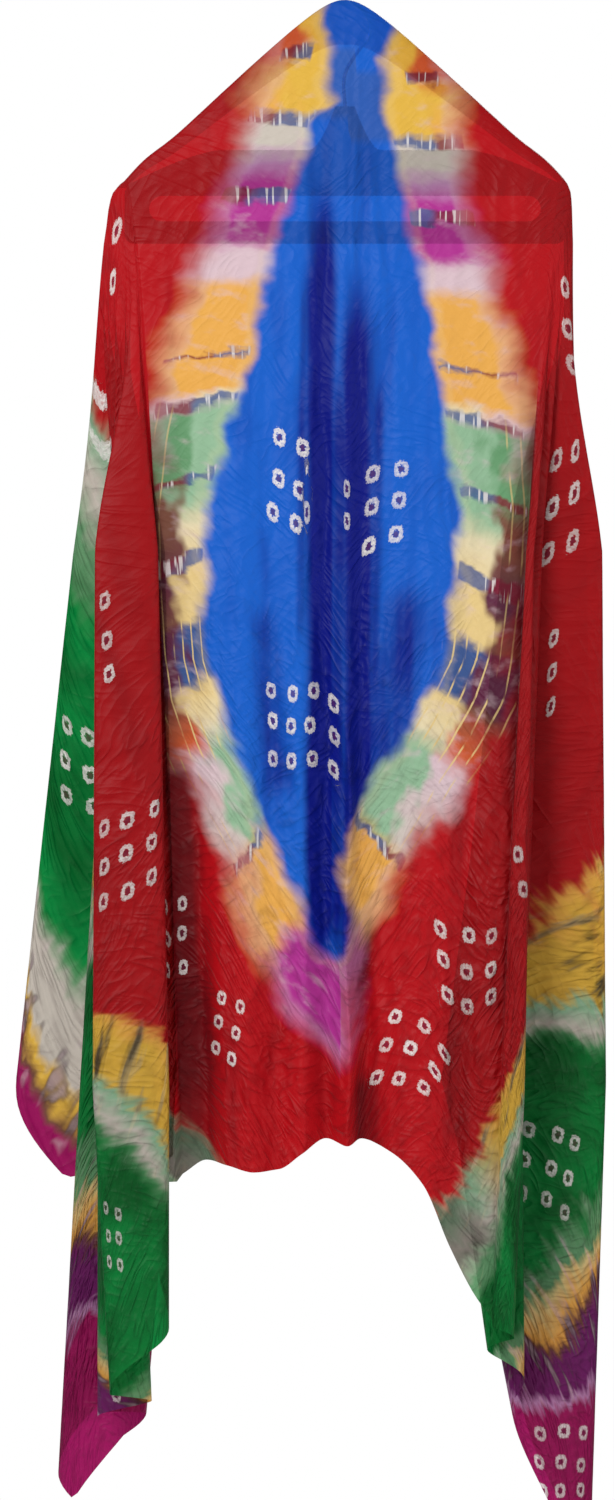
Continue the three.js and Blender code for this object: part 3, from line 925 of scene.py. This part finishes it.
def crease_lift(hung):
    """How far the front panel's creases stand out at each point."""
    lift = np.zeros(len(hung))
    seen = beside(hung[:, 0], hung_drop(hung))
    for crease in entries(CREASES, CREASE_COLUMNS):
        start = np.array([crease["x"], crease["drop"]], float)
        along = np.array([crease["to_x"], crease["to_drop"]], float) - start
        length = np.hypot(*along)
        along /= length
        run = (seen - start) @ along
        aside = (seen - start) @ np.array([-along[1], along[0]])
        wander = crease["half"] * np.sin(run / CREASE_WAVE + crease["x"])
        fade = np.clip(run / CREASE_FADE, 0, 1) * np.clip((length - run) / CREASE_FADE, 0, 1)
        shape = np.exp(-(((aside - wander) / crease["half"]) ** 2))
        lift += crease["height"] * ease(fade) * shape
    return lift


def crinkle_lift(flat, height):
    """Fine, uneven crinkles all over the cloth, stronger towards the hem."""

    def crinkle(name, u, w, bent=0.0):
        along, across, bent_along, bent_across, layer = CRINKLES[name]
        place = (u * along + bent * bent_along, w * across + bent * bent_across, layer)
        return noise.noise(Vector(place))

    def ridge(name, u, w, bent):
        return max(1 - abs(CRINKLE_STEEPNESS * crinkle(name, u, w, bent)), CRINKLE_FLOOR)

    lift = np.zeros(len(flat))
    for index, (u, w) in enumerate(flat * MM):
        bent = crinkle("bend", u, w) * BEND_REACH
        ridges = ridge("sharp", u, w, bent) + ridge("small", u, w, bent) * SMALL_SHARE
        rough = ROUGH_AT_CREST + ROUGH_GAIN * min(w, 1.0)
        lift[index] = ridges * rough * height + crinkle("sway", u, w) * SWAY_HEIGHT
    return lift


def front_hollow(hung, front):
    """How far each front point lies in a hollow between its neighbours, about -1 to 1."""
    hollow = np.zeros(len(hung))
    columns = np.array(front)
    lift = hung[columns, 1]
    width = 2 * HOLLOW_REACH + 1
    padded = np.pad(lift, ((HOLLOW_REACH, HOLLOW_REACH), (0, 0)), mode="edge")
    total = np.cumsum(np.vstack([np.zeros((1, lift.shape[1])), padded]), axis=0)
    mean = (total[width:] - total[:-width]) / width
    hollow[columns] = np.clip((lift - mean) / HOLLOW_DEPTH, -1, 1)
    return hollow


def length(name, description, default, low, high, precision=4):
    """A length that a user may change."""
    return bpy.props.FloatProperty(
        name=name,
        description=description,
        default=default,
        min=low,
        max=high,
        precision=precision,
        subtype="DISTANCE",
        unit="LENGTH",
    )


def colour(name, description, default):
    """A colour that a user may change."""
    return bpy.props.FloatVectorProperty(
        name=name,
        description=description,
        default=default,
        min=0,
        max=1,
        subtype="COLOR_GAMMA",
    )


class DUPATTA_PG_sizes(bpy.types.PropertyGroup):
    """Sizes of the silk's relief and of the stage"""

    sheerness: bpy.props.FloatProperty(
        name="Sheerness",
        description="Share of the light that passes straight through the silk",
        default=0.3,
        min=0,
        max=1,
        subtype="FACTOR",
    )
    crinkle_height: length(
        "Crinkle height", "Height of the crinkles in the mesh", 0.0013, 0, 0.003
    )
    crease_height: length(
        "Crease height", "Height of the fine creases in the material", 0.0023, 0, 0.004
    )
    pucker_height: length(
        "Pucker height", "How far the cloth stands up at a tied knot", 0.0016, 0, 0.004
    )
    thread_height: length(
        "Thread height", "Height of the weave's threads", 0.00004, 0, 0.0004, precision=5
    )
    camera_distance: length(
        "Camera distance", "Distance of the camera from the hanger", 5.0, 2, 20, precision=2
    )
    floor_radius: length("Floor radius", "Radius of the pale floor", 1.0, 0.5, 5)
    floor_depth: length(
        "Floor depth", "Depth of the floor below the inside of the hook", 1.6, 1.56, 3
    )


class DUPATTA_PG_dyes(bpy.types.PropertyGroup):
    """The dyes of the cloth"""

    red: colour("Red", "Ground of the cloth", (0.698, 0.031, 0.071))
    # Deep red and deep blue: darker dye in random mottles, and painted shade in the front
    # panel's folds and hollows.
    deep_red: colour("Deep red", "Ground in its folds", (0.408, 0.016, 0.047))
    blue: colour("Blue", "The lozenge in the middle", (0.063, 0.361, 0.784))
    deep_blue: colour("Deep blue", "The lozenge in its folds", (0.016, 0.071, 0.518))
    ochre: colour("Ochre", "The band's top and the ends' streaks", (0.886, 0.698, 0.259))
    orange: colour("Orange", "The band's wide sections", (0.910, 0.659, 0.298))
    rust: colour("Rust", "Where ochre meets the red ground", (0.800, 0.345, 0.173))
    grey: colour("Grey", "Pale grey sections", (0.784, 0.745, 0.698))
    lilac: colour("Lilac", "Pale purple sections", (0.729, 0.518, 0.690))
    magenta: colour("Magenta", "The band's pink sections", (0.690, 0.188, 0.557))
    blush: colour("Blush", "Pale pink where the dye ran out", (0.847, 0.737, 0.769))
    cream: colour("Cream", "Nearly undyed silk", (0.894, 0.831, 0.675))
    sand: colour("Sand", "Pale yellow sections", (0.894, 0.776, 0.518))
    sage: colour("Sage", "Pale green sections", (0.557, 0.714, 0.573))
    moss: colour("Moss", "Duller green sections", (0.384, 0.588, 0.408))
    umber: colour("Umber", "Brown stains", (0.471, 0.290, 0.227))
    plum: colour("Plum", "Dark stains and the knots' middles", (0.361, 0.133, 0.243))
    wine: colour("Wine", "Stitch rows on the outer side", (0.471, 0.055, 0.173))
    slate: colour("Slate", "Stitch rows on the inner side", (0.227, 0.329, 0.549))
    green: colour("Green", "The ends", (0.000, 0.541, 0.235))
    deep_green: colour("Deep green", "The ends in their folds", (0.000, 0.361, 0.133))
    berry: colour("Berry", "The ends' last part", (0.612, 0.047, 0.345))
    violet: colour("Violet", "The ends' purple band", (0.439, 0.102, 0.384))
    soot: colour("Soot", "Black streaks", (0.173, 0.133, 0.102))
    thread: colour("Thread", "Undyed rings and threads", (0.933, 0.910, 0.894))


def linear(dye):
    """A dye's colour as Blender's linear colour."""
    shares = getattr(bpy.context.scene.dupatta_dyes, dye)
    bright = [s / 12.92 if s <= 0.04045 else ((s + 0.055) / 1.055) ** 2.4 for s in shares]
    return (*bright, 1.0)


class Desk:
    """Adds nodes to a new material or world and joins them."""

    def __init__(self, owner, surface="Principled BSDF"):
        self.owner = owner
        owner.use_nodes = True
        self.tree = owner.node_tree
        self.surface = self.tree.nodes[surface]
        self.place = None

    def feed(self, made, values):
        """Sets a node's inputs, by name or number, or joins them to a socket."""
        for name, value in values.items():
            if isinstance(value, bpy.types.NodeSocket):
                self.tree.links.new(value, made.inputs[name])
            else:
                made.inputs[name].default_value = value

    def node(self, kind, values, output=0, **settings):
        """One output of a new node, whose inputs and settings are given."""
        made = self.tree.nodes.new("ShaderNode" + kind)
        for name, value in settings.items():
            setattr(made, name, value)
        self.feed(made, values)
        return made.outputs[output]

    def math(self, operation, first, second=0.0, clamp=False):
        settings = {"operation": operation, "use_clamp": clamp}
        return self.node("Math", {0: first, 1: second}, **settings)

    def add(self, first, *others):
        for other in others:
            first = self.math("ADD", first, other)
        return first

    def times(self, first, *others):
        for other in others:
            first = self.math("MULTIPLY", first, other)
        return first

    def rest(self, value, whole=1.0, clamp=False):
        """What is left of a whole without the value."""
        return self.math("SUBTRACT", whole, value, clamp)

    def weighed(self, value, name):
        return self.times(value, WEIGHTS[name])

    def step(self, value, off, on):
        """0 at off, 1 at on, and a smooth step between."""
        values = {"Value": value, "From Min": off, "From Max": on}
        return self.node("MapRange", values, interpolation_type="SMOOTHSTEP")

    def between(self, value, low, high, soft=None):
        """A mask of a value, with smooth edges."""
        if soft is None:
            return self.step(value, low, high)
        rise = self.step(value, low - soft, low)
        return self.times(rise, self.step(value, high + soft, high))

    def mask(self, value, name):
        return self.between(value, *MASKS[name])

    def stretch(self, place, scale, turn=0.0):
        """Turns places, then scales them, so that a pattern's grain is turned too."""
        values = {"Vector": place, "Scale": [1 / s for s in scale], "Rotation": (0, 0, turn)}
        return self.node("Mapping", values, vector_type="TEXTURE")

    def noise(self, name, place=None):
        """One of the noises, about zero, from -0.5 to 0.5."""
        place = self.place if place is None else place
        scale, detail, *turn = NOISES[name]
        if isinstance(scale, tuple):
            place, scale = self.stretch(place, scale, *turn), 1.0
        values = {"Vector": place, "Scale": scale, "Detail": detail}
        return self.add(self.node("TexNoise", values, "Fac"), -0.5)

    def ridges(self, place, name):
        """Thin raised lines along a noise's middle values, from 0 to 1."""
        away = self.math("ABSOLUTE", self.times(self.noise(name, place), RIDGE_STEEPNESS))
        return self.math("POWER", self.rest(away, clamp=True), RIDGE_SHARPNESS)

    def mix(self, share, first, second, blend="MIX"):
        settings = {"data_type": "RGBA", "blend_type": blend}
        return self.node("Mix", {0: share, 6: first, 7: second}, 2, **settings)

    def stain(self, dye, name, value, *limits):
        """Lays one of the stains over a dye, where its mask of the value shows it."""
        tint, strength, mask = STAINS[name]
        shown = self.times(self.between(value, *mask), *limits, strength)
        return self.mix(shown, dye, linear(tint))

    def deepened(self, depth, name):
        """A dye that goes over to its deep one."""
        return self.mix(self.mask(depth, "deep_" + name), linear(name), linear("deep_" + name))

    def ramp(self, value, span, stops):
        """A colour ramp over a span of the value, with (place, colour) stops."""
        start, reach = span
        made = self.tree.nodes.new("ShaderNodeValToRGB")
        self.feed(made, {"Fac": self.times(self.add(value, -start), 1 / reach)})
        elements = made.color_ramp.elements
        while len(elements) < len(stops):
            elements.new(1.0)
        for element, (place, tint) in zip(elements, stops):
            element.position = (place - start) / reach
            element.color = tint
        return made.outputs["Color"]

    def marks(self, name):
        """The three numbers of one of the cloth's marks."""
        return self.parts(self.node("Attribute", {}, "Vector", attribute_name=name))

    def parts(self, vector):
        made = self.tree.nodes.new("ShaderNodeSeparateXYZ")
        self.feed(made, {0: vector})
        return tuple(made.outputs)

    def bump(self, height, strength, distance):
        values = {"Height": height, "Strength": strength, "Distance": distance}
        self.feed(self.surface, {"Normal": self.node("Bump", values)})


def section_dye(desk, section, side):
    rows = entries(SECTIONS, SECTION_COLUMNS)
    stops = [(row["drop"] * MM, linear(row[side])) for row in rows]
    return desk.ramp(section, BAND_SPAN, stops)


def stitch_mask(desk, section):
    """White in the rows of stitches and black between them."""
    stops = []
    for drop, half in STITCHES:
        wide = half + STITCH_EDGE
        for reach, shade in ((-wide, 0), (-half, 1), (half, 1), (wide, 0)):
            stops.append(((drop + reach) * MM, (shade, shade, shade, 1)))
    return desk.ramp(section, BAND_SPAN, stops)


def stitch_rows(desk, section, share):
    """The rows of stitches, which near the crest show in the band's middle alone."""
    row = desk.times(stitch_mask(desk, section), desk.mask(share, "stitched"))
    aside = desk.rest(desk.mask(share, "crest_stitches"))
    hidden = desk.times(aside, desk.mask(section, "near_crest"))
    return desk.times(row, desk.rest(hidden, STITCH_STRENGTH, clamp=True))


def tied_lines(desk, dye, share, section):
    """Thin undyed lines that run down the band, where it was wound with thread."""
    wavy = desk.weighed(desk.noise("wavy_lines"), "wavy_lines")
    lines = desk.math("FRACT", desk.add(desk.times(share, LINES_IN_BAND), wavy))
    rim = desk.times(desk.mask(share, "rim_lines"), desk.mask(section, "rim_length"))
    low = desk.mask(section, "low_lines")
    shown = desk.math("MAXIMUM", low, desk.times(rim, RIM_LINE_STRENGTH))
    unbroken = desk.mask(desk.noise("broken_lines"), "unbroken")
    return desk.stain(dye, "line", lines, shown, unbroken)


def band_dye(desk, share, section):
    """The band round the lozenge: its sections, rows of stitches and undyed lines."""
    ragged = desk.noise("section_edge")
    section = desk.add(section, desk.weighed(ragged, "section_edge"))
    blots = desk.weighed(desk.noise("blots"), "blots")
    outward = desk.mask(desk.add(share, blots), "outward")
    inner = section_dye(desk, section, "inner")
    dye = desk.mix(outward, inner, section_dye(desk, section, "outer"))
    dye = desk.stain(dye, "bleached", ragged)
    row = stitch_rows(desk, section, share)
    dye = desk.mix(row, dye, desk.mix(outward, linear("slate"), linear("wine")))
    dye = desk.stain(dye, "loose", desk.noise("loose_threads"), row)
    return tied_lines(desk, dye, share, section)


def panel_dye(desk, section, mottle_and_shade):
    """The front panel: the blue lozenge, the band round it and the red ground."""
    inner, outer, share = desk.marks("lozenge")
    soft = desk.noise("soft")
    spikes = desk.noise("spikes")
    inner = desk.add(inner, desk.weighed(soft, "inner_soft"))
    inner = desk.add(inner, desk.weighed(spikes, "inner_spikes"))
    outer = desk.add(outer, desk.weighed(soft, "outer_soft"))
    outer = desk.add(outer, desk.weighed(spikes, "outer_spikes"))
    stained = desk.mask(section, "stained")
    band = band_dye(desk, share, section)
    band = desk.stain(band, "halo", outer, desk.rest(stained))
    outer = desk.add(outer, desk.times(stained, desk.weighed(soft, "stained_soft")))
    # The red ground and the blue lozenge go deeper by random mottles and by painted shade in
    # the front panel's folds and hollows.
    dye = desk.mix(desk.mask(outer, "ground"), band, desk.deepened(mottle_and_shade, "red"))
    dye = desk.stain(dye, "rim", inner)
    blue = desk.stain(desk.deepened(mottle_and_shade, "blue"), "washed", section)
    return desk.mix(desk.mask(inner, "past_lozenge"), blue, dye)


def end_bands(desk, value, span, name):
    return desk.ramp(value, span, [(place, linear(tint)) for place, tint in END_BANDS[name]])


def end_dye(desk, ground, first, second, across):
    """The two ends: pale and streaked bands, green, then violet and berry."""
    wide = desk.noise("wide")
    spiky = desk.noise("spiky")
    drawn = desk.noise("drawn")
    ragged = desk.add(desk.weighed(wide, "end_wide"), desk.weighed(spiky, "end_spiky"))
    first = desk.add(first, ragged)
    second = desk.add(second, ragged)

    low = desk.mask(across, "low")
    pale = end_bands(desk, first, FIRST_SPAN, "pale")
    dye = desk.mix(low, pale, end_bands(desk, first, FIRST_SPAN, "streaked"))
    pulled = desk.times(desk.mask(first, "pulled"), desk.mask(across, "streaked"))
    dye = desk.stain(dye, "pale_streaks", drawn, pulled)
    gaps = desk.add(drawn, desk.weighed(wide, "soot_gap"))
    dye = desk.stain(dye, "soot_streaks", gaps, desk.mask(first, "sooty"), low)
    dye = desk.stain(dye, "hem_stain", first, desk.mask(across, "hem"))
    dye = desk.mix(desk.mask(first, "green"), dye, desk.deepened(wide, "green"))
    dye = desk.mix(desk.mask(first, "end"), ground, dye)

    faded = end_bands(desk, second, SECOND_SPAN, "faded")
    rich = end_bands(desk, second, SECOND_SPAN, "rich")
    beyond = desk.mix(desk.mask(across, "rich"), faded, rich)
    beyond = desk.stain(beyond, "charred", second, desk.mask(spiky, "charred_spikes"))
    beyond = desk.stain(beyond, "dusty", second, desk.mask(spiky, "dusty_spikes"))
    return desk.mix(desk.mask(second, "beyond"), dye, beyond)


def knot_dye(desk, dye):
    """White squarish rings where the cloth was tied, each with a dark middle."""
    row, line, inside = desk.marks("knots")
    middles = [desk.math("ROUND", place) for place in (row, line)]
    cell = desk.node("CombineXYZ", dict(enumerate(middles)))
    settings = {"noise_dimensions": "2D"}
    chance = desk.node("TexWhiteNoise", {"Vector": cell}, "Color", **settings)
    chances = desk.parts(chance)
    ragged = desk.noise("knot_edge")

    def away(place, middle, luck, name, flatness):
        """How far a point lies from a knot's middle, one way, to the power of its shape."""
        shift = desk.weighed(desk.add(luck, -0.5), name)
        apart = desk.times(desk.add(desk.math("SUBTRACT", place, middle), shift), flatness)
        return desk.math("POWER", desk.math("ABSOLUTE", apart), KNOT_SQUARE)

    aside = away(row, middles[0], chances[0], "knot_aside", 1)
    below = away(line, middles[1], chances[1], "knot_below", KNOT_FLATNESS)
    out = desk.math("POWER", desk.add(aside, below), 1 / KNOT_SQUARE)
    out = desk.add(out, desk.weighed(ragged, "knot_edge"))
    valid = desk.mask(inside, "knot")
    bright = desk.add(KNOT_BRIGHT, desk.weighed(chances[2], "knot_bright"))
    patchy = desk.add(KNOT_PATCHY, desk.weighed(ragged, "knot_patchy"))
    ring = desk.times(desk.mask(out, "ring"), valid, bright, patchy)
    dye = desk.mix(ring, dye, linear("thread"))
    dye = desk.stain(dye, "knot_middle", out, valid)
    return dye, desk.times(desk.mask(out, "pucker"), valid)


def silk_creases(desk, clouds, first, across):
    """Facets and two slants of ridges, which are stronger towards the hem and the ends."""
    values = {"Vector": desk.place, "Scale": SWAY_SCALE, "Detail": 0}
    sway = desk.node("TexNoise", values, "Color")
    values = {0: sway, "Scale": SWAY_REACH}
    swayed = desk.node("VectorMath", values, operation="SCALE")
    place = desk.node("VectorMath", {0: desk.place, 1: swayed}, operation="ADD")
    values = {"Vector": desk.stretch(place, *FACETS), "Scale": 1.0}
    facets = desk.node("TexVoronoi", values, "Distance", voronoi_dimensions="2D")
    patch = desk.mask(clouds, "crease_patch")
    turned = desk.rest(patch, CROSS_WHOLE)
    creases = desk.add(
        desk.times(desk.ridges(place, "slant"), desk.weighed(patch, "slant")),
        desk.times(desk.ridges(place, "cross"), desk.weighed(turned, "cross")),
        desk.weighed(facets, "facets"),
    )
    near_hem, near_end = desk.mask(across, "creased_hem"), desk.mask(first, "creased_end")
    towards_end = desk.weighed(desk.math("MAXIMUM", near_hem, near_end), "towards_end")
    return desk.times(creases, desk.add(CREASES_AT_CREST, towards_end))


def silk_material(sizes):
    """The tie-dyed silk: its dye, the painted shade in its folds and creases, its creases and
    how sheer it is.
    """
    desk = Desk(bpy.data.materials.new("tie_dyed_silk"))
    desk.place = desk.node("UVMap", {}, uv_map="weave")
    section, hollow, fold_shade = desk.marks("section")
    ends = desk.marks("ends")
    clouds = desk.noise("clouds")
    # Random mottles of the dye, plus painted shade in the front panel's hollows and folds.
    mottle_and_shade = desk.add(
        desk.weighed(clouds, "deep_clouds"),
        desk.weighed(desk.noise("runs"), "deep_runs"),
        desk.weighed(hollow, "hollow_shade"),
        fold_shade,
    )
    dye = end_dye(desk, panel_dye(desk, section, mottle_and_shade), *ends)
    dye, pucker = knot_dye(desk, dye)
    creases = silk_creases(desk, clouds, ends[0], ends[2])
    # Painted shade: the crease lines and the front panel's folds darken the dye.
    crease_line_shade = desk.weighed(desk.mask(creases, "crease_line_shade"), "crease_line_shade")
    shaded = desk.add(crease_line_shade, desk.weighed(fold_shade, "fold_shade"))
    dye = desk.mix(shaded, dye, CREASE_SHADE, "MULTIPLY")

    settings = {"wave_type": "BANDS", "bands_direction": "X"}
    values = {"Vector": desk.place, **THREAD_WAVES}
    threads = desk.node("TexWave", values, "Fac", **settings)
    relief = desk.add(
        desk.times(creases, sizes.crease_height),
        desk.times(pucker, sizes.pucker_height),
        desk.times(threads, sizes.thread_height),
    )
    desk.bump(relief, *SILK_BUMP)
    rough = desk.add(SILK_ROUGH, desk.weighed(clouds, "silk_rough"))
    desk.feed(desk.surface, {"Base Color": dye, "Roughness": rough, **SILK_GLOSS})
    tint = desk.node("Gamma", {"Color": dye, "Gamma": SHEER_TINT})
    clear = desk.node("BsdfTransparent", {"Color": tint})
    values = {"Fac": sizes.sheerness, 1: desk.surface.outputs[0], 2: clear}
    sheer = desk.node("MixShader", values)
    desk.feed(desk.tree.nodes["Material Output"], {"Surface": sheer})
    return desk.owner


def hanger_material(name, grain, wear, new, worn, rough, metallic, bump):
    """A plain hard finish with a fine grain and some wear."""
    desk = Desk(bpy.data.materials.new(name))
    desk.place = desk.node("TexCoord", {}, "Object")
    patches = desk.noise(wear)
    colours = desk.mix(desk.mask(patches, wear), new, worn)
    rough = desk.add(rough, desk.weighed(patches, "worn_rough"))
    desk.feed(desk.surface, {"Base Color": colours, "Roughness": rough, "Metallic": metallic})
    desk.bump(desk.noise(grain), *bump)
    return desk.owner


def set_marks(mesh, name, values):
    marks = mesh.attributes.new(name, "FLOAT_VECTOR", "POINT")
    marks.data.foreach_set("vector", np.ascontiguousarray(values, float).ravel())


def mark_cloth(mesh, cloth, front, creases):
    """Gives the mesh the marks and the map that the silk's dye reads."""
    hung, flat, part = (np.array(rows) for rows in (cloth.hung, cloth.flat, cloth.part))
    on_panel = (part == FRONT) | (part == FLAP)
    lozenge = lozenge_marks(hung, on_panel)
    # The front panel's hollows and sunk creases, and its shaded folds, which the silk paints
    # as shade.
    hollow_for_shade = np.clip(front_hollow(hung, front) - creases / CREASE_DEPTH, -1, 1)
    fold_shade = np.where(on_panel, painted_fold_shade(hung), 0)
    set_marks(mesh, "lozenge", lozenge[:, :3] * (MM, MM, 1))
    set_marks(mesh, "section", beside(lozenge[:, 3] * MM, hollow_for_shade, fold_shade))
    set_marks(mesh, "ends", np.column_stack([end_marks(flat), flat[:, 1]]) * MM)
    set_marks(mesh, "knots", knot_marks(hung, flat))
    layer = mesh.uv_layers.new(name="weave")
    corners = np.zeros(len(mesh.loops), np.int32)
    mesh.loops.foreach_get("vertex_index", corners)
    layer.data.foreach_set("uv", (dye_place(flat)[corners] * MM).ravel())


class DUPATTA_OT_cloth(bpy.types.Operator):
    """Makes the dupatta's hanging cloth"""

    bl_idname = "dupatta.cloth"
    bl_label = "Cloth"

    def execute(self, context):
        sizes = context.scene.dupatta_sizes
        cloth, front = make_cloth()
        hung = np.array(cloth.hung)
        crinkles = crinkle_lift(np.array(cloth.flat), sizes.crinkle_height / MM)
        creases = np.where(np.array(cloth.part) == FRONT, crease_lift(hung), 0)
        placed = hung.copy()
        placed[:, 1] -= (crinkles + creases) * np.clip(hung_drop(hung) / CREST_CALM, 0, 1)
        mesh = bpy.data.meshes.new("dupatta_cloth")
        mesh.from_pydata([tuple(point) for point in placed * MM], [], cloth.faces)
        mesh.update()
        mark_cloth(mesh, cloth, front, creases)
        mesh.polygons.foreach_set("use_smooth", [True] * len(mesh.polygons))
        mesh.materials.append(silk_material(sizes))
        piece = bpy.data.objects.new("dupatta_cloth", mesh)
        context.collection.objects.link(piece)
        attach(piece, "root")
        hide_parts("dupatta")
        return {"FINISHED"}


class DUPATTA_OT_hanger(bpy.types.Operator):
    """Finishes the hanger's body and its hook"""

    bl_idname = "dupatta.hanger"
    bl_label = "Hanger"

    def execute(self, context):
        for node, finish in HANGER_FINISHES.items():
            material = hanger_material(*finish)
            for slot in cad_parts[node].material_slots:
                slot.material = material
        return {"FINISHED"}


def soft_light(context, name, place, aim, width, power):
    """A round soft light that faces the middle line at a height."""
    lamp = bpy.data.lights.new(name, "AREA")
    lamp.shape = "DISK"
    lamp.size = width
    lamp.energy = power
    light = bpy.data.objects.new(name, lamp)
    light.location = place
    facing = Vector((0, 0, aim)) - Vector(place)
    light.rotation_euler = facing.to_track_quat("-Z", "Y").to_euler()
    light.visible_camera = False
    context.collection.objects.link(light)


def pale_world():
    """A dim even light all round, which the camera sees as white."""
    desk = Desk(bpy.data.worlds.new("studio"), "Background")
    desk.feed(desk.surface, {"Color": WHITE, "Strength": SURROUND_LIGHT})
    seen = desk.node("Background", {"Color": WHITE})
    by_camera = desk.node("LightPath", {}, "Is Camera Ray")
    values = {"Fac": by_camera, 1: desk.surface.outputs[0], 2: seen}
    both = desk.node("MixShader", values)
    desk.feed(desk.tree.nodes["World Output"], {"Surface": both})
    return desk.owner


class DUPATTA_OT_stage(bpy.types.Operator):
    """Makes the pale floor, the soft lights and the camera"""

    bl_idname = "dupatta.stage"
    bl_label = "Stage"

    def execute(self, context):
        sizes = context.scene.dupatta_sizes
        bpy.ops.object.select_all(action="DESELECT")
        bpy.ops.mesh.primitive_circle_add(
            vertices=FLOOR_SIDES,
            radius=sizes.floor_radius,
            fill_type="NGON",
            location=(0, 0, -sizes.floor_depth),
        )
        floor = context.object
        floor.name = "floor"
        desk = Desk(bpy.data.materials.new("floor_paint"))
        desk.feed(desk.surface, {"Base Color": FLOOR_COLOUR, "Roughness": FLOOR_ROUGH})
        floor.data.materials.append(desk.owner)
        camera = bpy.data.cameras.new("camera")
        camera.sensor_width = CAMERA_SENSOR
        camera.lens = CAMERA_LENS
        view = bpy.data.objects.new("camera", camera)
        view.location = (CAMERA_X, -sizes.camera_distance, CAMERA_Z)
        view.rotation_euler = (math.pi / 2, 0, 0)
        context.collection.objects.link(view)
        context.scene.camera = view
        for light in LIGHTS:
            soft_light(context, *light)
        context.scene.world = pale_world()
        context.scene.view_settings.view_transform = "Standard"
        return {"FINISHED"}


OPERATORS = (DUPATTA_OT_cloth, DUPATTA_OT_hanger, DUPATTA_OT_stage)


class DUPATTA_PT_main(bpy.types.Panel):
    """Lists the dupatta's pieces, its sizes and its dyes"""

    bl_idname = "DUPATTA_PT_main"
    bl_label = "Dupatta"
    bl_space_type = "VIEW_3D"
    bl_region_type = "UI"
    bl_category = "Dupatta"

    def draw(self, context):
        for operator in OPERATORS:
            self.layout.operator(operator.bl_idname)
        for group in (context.scene.dupatta_sizes, context.scene.dupatta_dyes):
            box = self.layout.box()
            for name in type(group).__annotations__:
                box.prop(group, name)


CLASSES = (DUPATTA_PG_sizes, DUPATTA_PG_dyes, *OPERATORS, DUPATTA_PT_main)


def register():
    for entry in CLASSES:
        bpy.utils.register_class(entry)
    bpy.types.Scene.dupatta_sizes = bpy.props.PointerProperty(type=DUPATTA_PG_sizes)
    bpy.types.Scene.dupatta_dyes = bpy.props.PointerProperty(type=DUPATTA_PG_dyes)


def unregister():
    del bpy.types.Scene.dupatta_dyes
    del bpy.types.Scene.dupatta_sizes
    for entry in reversed(CLASSES):
        bpy.utils.unregister_class(entry)


def main():
    register()
    bpy.ops.dupatta.cloth()
    bpy.ops.dupatta.hanger()
    bpy.ops.dupatta.stage()


if __name__ == "__main__":
    main()
